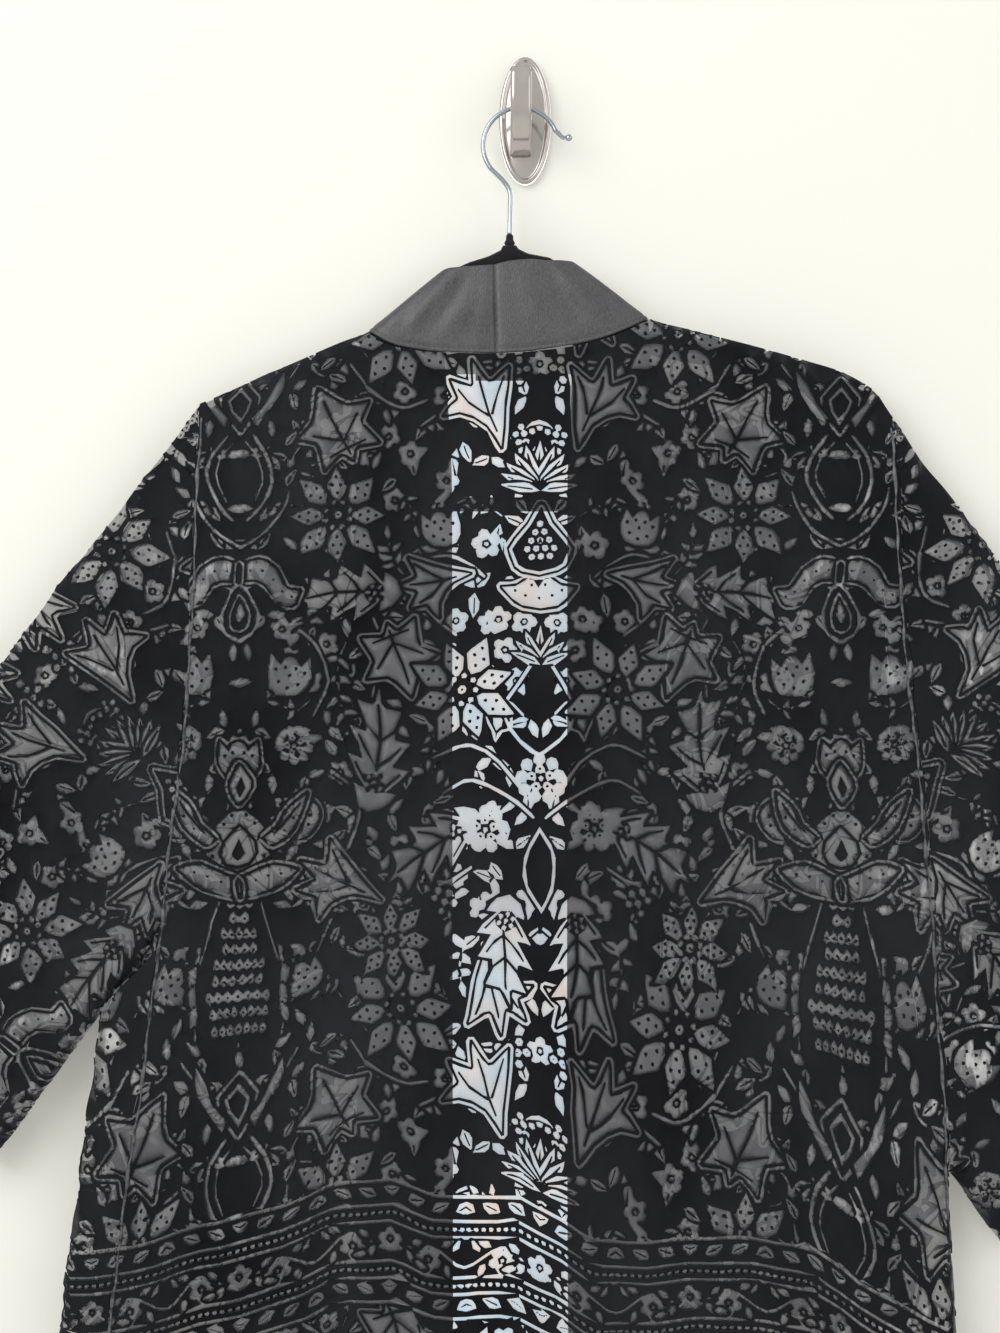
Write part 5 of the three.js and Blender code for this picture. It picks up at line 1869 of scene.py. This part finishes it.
def band_loops(neck, edge_at, free_at, side):
    stations = along(band_stations(neck, edge_at, free_at, side), BAND_ROWS)
    seam_out, free_out, seam_in, free_in = (stations[:, i : i + 3] for i in (0, 3, 6, 9))
    loops = np.stack([
        blend(blend(seam_out, free_out, share), blend(seam_in, free_in, share), depth)
        for share, depth in BAND_SECTION
    ], axis=1)
    thick = (seam_out - seam_in) / SATIN_WALL
    way = np.cumsum(np.linalg.norm(np.gradient(stations[:, :3], axis=0), axis=1))
    for i, (share, depth) in enumerate(BAND_SECTION):
        if depth > 0.5:
            continue
        puff = 0.35 * math.sin(math.pi * min(1.0, share * 1.05)) ** 0.5
        pucker = 0.16 * np.sin(way * 1.1) * np.exp(-(((share - 0.09) / 0.05) ** 2))
        groove = -0.5 * math.exp(-(((share - STITCH_SHARE) / 0.014) ** 2))
        x, z = loops[:, i, 0], loops[:, i, 2]
        on_back = loops[:, i, 1] < HANGING_PLANE - 5
        creases = np.where(on_back, fold_lift(NECK_CREASES, x, z), 0)
        centre = -0.8 * np.exp(-(((x - CENTRE_SEAM_X) / 1.6) ** 2)) * on_back
        slow = 0.3 * np.sin(way * 0.05 + share * 3) * ease(share * 4) * ~on_back
        loops[:, i] += thick * (puff + pucker + groove + creases + centre + slow)[:, None]
    return loops


print("satin rows", BAND_ROWS, "with", len(BAND_SECTION), "points each")

# %% [markdown]
# ## Topstitching
# The band is held by one line of short stitches. Each is a rounded bit of thread, thick in the middle
# and sunk at both ends, so a short table of its profile is swept along the line once for each stitch.

# %% Stitches and the two halves
THREAD = {"spacing": 3.1, "length": 2.4, "radius": 0.24, "sides": 6}
STITCH_PROFILE = sizes("share thick lift", [
    [0.0, 0.25, -0.5], [0.12, 0.8, 0.1], [0.5, 1.0, 0.55], [0.88, 0.8, 0.1], [1.0, 0.25, -0.5],
])


def stitches(name, line, out, material):
    """Short rounded threads along a line, each sunk at both ends."""
    way = way_along(line)
    points, faces = [], []
    for start in np.arange(THREAD["spacing"], way[-1] - THREAD["spacing"], THREAD["spacing"]):
        a, b = (
            np.array([np.interp(start + share, way, column) for column in line.T])
            for share in (0, THREAD["length"])
        )
        up = np.array([np.interp(start, way, column) for column in out.T])
        side = np.cross((b - a) / (np.linalg.norm(b - a) + 1e-9), up)
        faces += ring_faces(len(STITCH_PROFILE["share"]), THREAD["sides"], len(points))
        for share, thick, lift in zip(*STITCH_PROFILE.values()):
            middle = a + (b - a) * share + up * lift * THREAD["radius"]
            for angle in np.arange(THREAD["sides"]) * 2 * math.pi / THREAD["sides"]:
                ring = side * math.cos(angle) + up * math.sin(angle)
                points.append((middle + ring * THREAD["radius"] * thick) * MM)
    mesh = bpy.data.meshes.new(name)
    mesh.from_pydata([tuple(p) for p in points], [], faces)
    return new_piece(name, mesh, material)


thread_finish = plain("black thread", (0.035, 0.034, 0.036), 0.5)
for name, neck, edge_at, free_at, side in (
    ("left", LEFT_NECK, left_edge, left_free, 1),
    ("right", RIGHT_NECK, right_edge, right_free, -1),
):
    loops = band_loops(neck, edge_at, free_at, side)
    band = belongs(skin(f"{name}_neckband_satin", loops, satin_finish), "satin", f"neckband_{name}")
    line = loops[:, OUTER_SHARES.index(STITCH_SHARE)]
    out = loops[:, OUTER_SHARES.index(MIDDLE_SHARE)] - loops[:, INNER_MIDDLE]
    out /= np.linalg.norm(out, axis=1)[:, None]
    thread = stitches(f"{name}_neckband_stitching", line, out, thread_finish)
    belongs(thread, "satin")

# %% [markdown]
# ## Puckered seams
# Velvet creeps while it is sewn, so each long seam of the back draws up into small puckers. A narrow
# roll runs down each side seam from the shoulder to the hem. Its thickness and its way change
# unevenly, from three waves whose lengths don't fit each other.

# %% Side seams
ROLL_RADIUS = 0.85
ROLL_ROWS = 420


def puckered():
    recipe = Recipe("puckered velvet seam")
    gathers_and_glints = noise(recipe, 240.0, 3.0, (0.5, 0.5, 1.0))
    # The lighter specks along the gathers are partly pulled threads of the ground and partly painted glints.
    shade = recipe.mix(gathers_and_glints * 3.0 - 1.0, colour(0.004, 0.004, 0.005), colour(0.11, 0.112, 0.12))
    bump = recipe.relief(gathers_and_glints, 0.7, 0.0006)
    return recipe.surface(Base_Color=shade, Roughness=gathers_and_glints * 0.3 + 0.25, Normal=bump)


def seam_roll(name, side, top):
    """A thin uneven roll down a seam, just proud of the pile."""
    z = np.linspace(top - 8, HEM + 1, ROLL_ROWS)
    waves = np.sin(z / 3.1) + np.sin(z / 5.3 + 1.0) + np.sin(z / 11.7 + 2.0)
    x = side(z) + 0.35 * np.sin(z / 4.3) + 0.5 * np.sin(z / 17.0)
    radius = ROLL_RADIUS + 0.2 * waves
    path = np.column_stack([x, back_y(x, z) - PILE_HEIGHT * 0.75, z])
    belongs(skin(name, tube(path, radius, 8), seam_finish), "velvet")


seam_finish = puckered()
seam_roll("left_side_seam", lambda z: left_seam(z) + 1.5, corner_z["left"])
seam_roll("right_side_seam", lambda z: right_seam(z) - 2.5, corner_z["right"])

# %% [markdown]
# ## The label in the back neck
# A short woven tape is sewn inside the back neck. It is left plain. It is a flat loop of points with
# rounded edges, bowed a little between its two sewn ends.

# %% Label
LABEL = {"left": -31.0, "right": 8.0, "top": -154.0, "bottom": -168.0, "wall": 0.9, "off_back": 1.9}
LABEL_SECTION = sizes("down depth", [
    [0, 0.3], [0.03, 0], [0.35, -0.1], [0.65, -0.1], [0.97, 0], [1, 0.3],
    [1, 0.7], [0.97, 1], [0.5, 1], [0.03, 1], [0, 0.7],
])
label_loops = []
for share in np.linspace(0, 1, 25):
    z = blend(LABEL["top"], LABEL["bottom"], LABEL_SECTION["down"])
    x = np.full(len(z), blend(LABEL["left"], LABEL["right"], share))
    bow = 0.5 * math.sin(math.pi * share)
    y = back_y(x, z) + LABEL["off_back"] + bow + LABEL_SECTION["depth"] * LABEL["wall"]
    label_loops.append(np.column_stack([x, y, z]))


def woven_tape():
    recipe = Recipe("woven label tape")
    ribs = threads(recipe, 0.0006, 2) * 0.6 + threads(recipe, 0.0008, 0) * 0.4
    shade = recipe.mix(ribs, colour(0.03, 0.03, 0.033), colour(0.075, 0.075, 0.08))
    return recipe.surface(Base_Color=shade, Roughness=0.5, Normal=recipe.relief(ribs, 0.4, 0.0002))


label = belongs(skin("neck_label_tape", label_loops, woven_tape()), "label", "neck_label")

# %% [markdown]
# ## Hanger and wire
# The hanger is a flat plastic body covered with short black flock, so it keeps the model's own shape
# and gets a soft matt finish. Its hook is bent from one piece of chromed wire, whose bends are one
# smooth path that ends in a small ball. A turned sleeve joins the wire to the body.

# %% Wire, ball and neck sleeve
WIRE_RADIUS = 1.45
HOOK_CENTRE = (-2.8, -20.5)
HOOK_RADIUS = 23.6
ARC_TURNS = np.radians(np.linspace(219, 23, 40))
STEM = [
    (-9.8, -76.0), (-9.7, -70.0), (-9.5, -62.0), (-9.3, -55.0), (-9.6, -50.0), (-11.4, -45.8),
    (-15.2, -41.2),
]
LIP = [(21.2, -13.4), (23.0, -15.4), (25.0, -16.0)]
BALL_CENTRE = (27.2, HANGING_PLANE, -15.8)
BALL_RADIUS = 2.3
arc = [np.array(HOOK_CENTRE) + HOOK_RADIUS * np.array([math.cos(a), math.sin(a)]) for a in ARC_TURNS]
wire_way = spline(STEM + arc + LIP, 6)
wire_path = np.column_stack([wire_way[:, 0], np.full(len(wire_way), HANGING_PLANE), wire_way[:, 1]])


def chromed_wire():
    recipe = Recipe("chromed wire")
    brushed = noise(recipe, 420.0, 4.0, (1.0, 1.0, 0.15))
    smears = noise(recipe, 45.0, 2.0)
    return recipe.surface(
        Base_Color=recipe.mix(smears, colour(0.3444, 0.3772, 0.41), colour(0.42, 0.46, 0.5)),
        Metallic=1.0,
        Roughness=brushed * 0.08 + 0.12,
        Normal=recipe.relief(brushed, 0.04, 0.0002),
    )


chrome = chromed_wire()
belongs(skin("hanger_wire", tube(wire_path, WIRE_RADIUS, 24), chrome), "wire", "hanger_hook")
turns = np.linspace(0, math.pi, 22)
ball_path = [np.array(BALL_CENTRE) + (-BALL_RADIUS * math.cos(t), 0, 0) for t in turns]
ball_radii = np.maximum(BALL_RADIUS * np.sin(turns), 0.02)
belongs(skin("wire_ball_end", tube(ball_path, ball_radii, 28), chrome), "wire", "hook_ball")


def flocking():
    recipe = Recipe("black flocking")
    fluff = noise(recipe, 1800.0, 3.0)
    worn = noise(recipe, 40.0, 3.0)
    return recipe.surface(
        Base_Color=recipe.mix(worn, colour(0.006, 0.006, 0.007), colour(0.016, 0.016, 0.017)),
        Roughness=0.95,
        Normal=recipe.relief(fluff, 0.6, 0.0004),
        Specular_IOR_Level=0.15,
        Sheen_Weight=0.15,
        Sheen_Roughness=0.5,
    )


flock = flocking()
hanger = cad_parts["hanger_body"]
hanger.data.materials.clear()
hanger.data.materials.append(flock)
NECK_PROFILE = sizes("radius z", [
    [0.05, -83.2], [2.6, -83.2], [3.4, -81.6], [2.9, -80.4], [2.35, -79.6], [2.3, -77.4],
    [2.1, -76.6], [1.7, -76.2], [0.05, -76.2],
])
neck_levels = NECK_PROFILE["z"] + np.arange(len(NECK_PROFILE["z"])) * 1e-3
neck_path = [(STEM[0][0], HANGING_PLANE, z) for z in neck_levels]
neck_sleeve = skin("hanger_neck_sleeve", tube(neck_path, NECK_PROFILE["radius"], 32), flock)
belongs(neck_sleeve, "flock", "hanger_neck")

# %% [markdown]
# ## Wall hook
# The wall hook is a moulded oval plate with a raised rim and a tongue that turns up. The plate is a
# stack of oval rings from a short table of its section. The tongue is one side view, repeated across
# its width and drawn in a little near both edges, which rounds them.

# %% Wall hook
PLATE_HALF = (16.4, 40.3)
RIM_WIDTH = 6
PLATE_RINGS = sizes("inset height", [
    [0.4, 0.05], [0.0, 0.5], [0.0, 3.4], [0.3, 4.3], [1.0, 4.9], [1.9, 5.0], [2.6, 4.8], [3.1, 4.3],
    [3.7, 4.0], [4.6, 4.1], [6.5, 4.5], [9.0, 4.8], [12.0, 4.95], [15.0, 5.0], [16.2, 5.0],
])


def plate_ring(inset, height, segments=96):
    angle = np.linspace(0, 2 * math.pi, segments, endpoint=False)
    inset_z = inset * (1 if inset < RIM_WIDTH else PLATE_HALF[1] / PLATE_HALF[0])
    x = max(PLATE_HALF[0] - inset, 0.1) * np.cos(angle)
    z = max(PLATE_HALF[1] - inset_z, 0.2) * np.sin(angle)
    return np.column_stack([x, np.full(segments, -height), z])


plate_rings = [plate_ring(inset, height) for inset, height in zip(*PLATE_RINGS.values())]


def glossy_nickel():
    recipe = Recipe("glossy nickel")
    smears = noise(recipe, 60.0, 3.0)
    return recipe.surface(
        Base_Color=recipe.mix(smears, colour(0.4, 0.365, 0.33), colour(0.5, 0.465, 0.43)),
        Metallic=0.75,
        Roughness=smears * 0.08 + 0.14,
        Coat_Weight=0.6,
        Coat_Roughness=0.08,
    )


nickel = glossy_nickel()
belongs(skin("wall_hook_oval", plate_rings, nickel), "hook", "wall_hook_plate")
ARM_SIDE = [
    (5.3, -23.5), (9, -22.8), (14, -21), (20, -17.4), (24, -14), (28, -8.6), (30.5, -3), (32.3, 3.4),
    (33.4, 9), (33.8, 15.4), (33.6, 21), (33.0, 24.2), (31.6, 26.2), (30.0, 26.2), (28.9, 24.2),
    (28.6, 17), (27.9, 11.6), (27, 7.4), (25, 2.4), (22, 0.4), (19, 1.8), (14, 3.6), (9, 3.2), (5.3, 2.2),
]
ARM_HALF_WIDTH = 6.5
ARM_ROUND = 2.2


def shrunk(points, by):
    """A closed side view, moved inwards by a distance."""
    points = np.array(points)
    ahead = np.roll(points, -1, axis=0) - np.roll(points, 1, axis=0)
    normal = np.column_stack([-ahead[:, 1], ahead[:, 0]]) / np.linalg.norm(ahead, axis=1)[:, None]
    return points + normal * by


arm_loops = []
for share in np.linspace(-1, 1, 17):
    reach = share * ARM_HALF_WIDTH
    past = max(0.0, abs(reach) - (ARM_HALF_WIDTH - ARM_ROUND))
    by = ARM_ROUND - math.sqrt(max(0.0, ARM_ROUND**2 - past**2))
    side_view = shrunk(ARM_SIDE, by * 0.9)
    x = HOOK_CENTRE[0] + reach
    arm_loops.append(np.column_stack([np.full(len(side_view), x), -side_view[:, 0], side_view[:, 1]]))
belongs(skin("wall_hook_tongue", arm_loops, nickel), "hook", "wall_hook_arm")

# %% [markdown]
# ## Wall and floor
# The stage is a pale wall behind the robe and a floor far below it. The wall has a faint glow of its
# own, so that it stays as even as a painted wall in daylight, and it is clear from behind, so that the
# front of the robe can be looked at too.

# %% Wall and floor
FLOOR_Z = -1.75
WALL_GLOW = 0.12


def stage_plane(name, centre, half_width, half_depth, upright, material):
    w, d = half_width, half_depth
    corners = [(-w, -d), (w, -d), (w, d), (-w, d)]
    corners = [(a, 0, b) if upright else (a, b, 0) for a, b in corners]
    mesh = bpy.data.meshes.new(name)
    mesh.from_pydata(corners, [], [(0, 1, 2, 3)])
    plane = new_piece(name, mesh, material)
    plane.location = centre
    return plane


def clear_from_behind(recipe, shader):
    clear = recipe.node("ShaderNodeBsdfTransparent")
    behind = recipe.node("ShaderNodeNewGeometry", output="Backfacing")
    return recipe.finish(recipe.node("ShaderNodeMixShader", {}, {0: behind, 1: shader, 2: clear}))


def wall_paint():
    recipe = Recipe("wall paint")
    matt = recipe.node("ShaderNodeBsdfDiffuse", {}, {"Color": colour(0.75, 0.748, 0.68)})
    glow = recipe.node("ShaderNodeEmission", {}, {"Color": colour(0.965, 0.96, 0.88), "Strength": 1.0})
    painted = recipe.node("ShaderNodeMixShader", {}, {0: WALL_GLOW, 1: matt, 2: glow})
    return clear_from_behind(recipe, painted)


wall = stage_plane("wall", (0, 0.0008, -0.25), 4.0, 1.5, True, wall_paint())
stage_plane("floor", (0, 0, FLOOR_Z), 4.0, 4.0, False, plain("pale floor", (0.8, 0.79, 0.77), 0.6))
print("wall", wall.dimensions.x, "m wide")

# %% [markdown]
# ## A card behind the opening
# A glowing card stands behind the open front, so that the sheer ground shows bright in the strip between
# the two halves of the neckband. Its glow is painted light, standing in for the light that falls in at
# the open front. Thin silk splits light into faint colours, so the card's glow is painted a little
# cooler in some places and warmer in others, and soft clouds make it brighter and dimmer down its
# length.

# %% Card behind the opening


def glowing_card():
    recipe = Recipe("glowing card")
    hues = noise(recipe, 24.0, 3.0, (1.6, 1.0, 1.0)) * 5.0 - 2.0
    cool = recipe.mix(hues, colour(0.7, 0.88, 1.0), colour(1.0, 0.98, 0.95))
    tint = recipe.mix(hues * 1.4 - 1.1, cool, colour(1.0, 0.82, 0.72))
    clouds = noise(recipe, 8.0, 2.0, (0.5, 1.0, 1.0)) * 4.0 - 1.4
    tint = recipe.mix(clouds, colour(0.56, 0.57, 0.58), tint)
    # Painted light: the card glows in place of the light falling in at the open front.
    return clear_from_behind(recipe, recipe.node("ShaderNodeEmission", {}, {"Color": tint, "Strength": 1.3}))


card = stage_plane("card", (-0.0098, 0.0004, -0.66), 0.062, 0.5, True, glowing_card())
for backdrop in (wall, card):
    backdrop.visible_diffuse = False
    backdrop.visible_glossy = False
    backdrop.visible_transmission = False
    backdrop.visible_shadow = False
print("card", round(card.dimensions.x, 3), "m wide")

# %% [markdown]
# ## Light and camera
# The room is bright all round, as beside large windows: an even sky of white gives most of the light,
# a large soft lamp on the left gives it a direction, and two weaker ones open the right side and the
# front. The camera looks straight at the wall.

# %% Light and camera
scene = bpy.context.scene
scene.view_settings.view_transform = "Standard"
scene.world = bpy.data.worlds.new("studio")
scene.world.use_nodes = True
background = scene.world.node_tree.nodes["Background"]
background.inputs["Color"].default_value = colour(1, 1, 1)
background.inputs["Strength"].default_value = 0.75


def soft_light(name, at, aim, size, power):
    data = bpy.data.lights.new(name, "AREA")
    data.shape = "RECTANGLE"
    data.size, data.size_y = size
    data.energy = power
    lamp = bpy.data.objects.new(name, data)
    lamp.location = at
    lamp.rotation_euler = (Vector(aim) - Vector(at)).to_track_quat("-Z", "Y").to_euler()
    scene.collection.objects.link(lamp)


soft_light("window", (-1.6, -2.2, 0.9), (0, 0, -0.4), (2.2, 2.2), 60)
soft_light("room_side", (2.2, -2.0, 0.2), (0, 0, -0.5), (2.0, 2.0), 17)
soft_light("front_side", (0.5, 2.4, 0.4), (0, 0, -0.6), (2.0, 2.0), 40)

PIXEL = 0.62 * MM
COLUMNS, ROWS = 1000, 1333
ORIGIN_COLUMN, ORIGIN_ROW = 525.5, 109
VIEW_HEIGHT = ROWS * PIXEL
CAMERA_DISTANCE = 1.25
CLOTH_OFF_WALL = 0.03
view_x = (COLUMNS / 2 - ORIGIN_COLUMN) * PIXEL
view_centre = Vector((view_x, 0, ORIGIN_ROW * PIXEL - VIEW_HEIGHT / 2))
camera_data = bpy.data.cameras.new("camera")
camera_data.sensor_width = 36.0
camera_data.lens = camera_data.sensor_width * CAMERA_DISTANCE / VIEW_HEIGHT
camera = bpy.data.objects.new("camera", camera_data)
camera.location = view_centre + Vector((0, -CAMERA_DISTANCE - CLOTH_OFF_WALL, 0))
camera.rotation_euler = (math.pi / 2, 0, 0)
scene.collection.objects.link(camera)
scene.camera = camera
print("lens", round(camera_data.lens, 1))
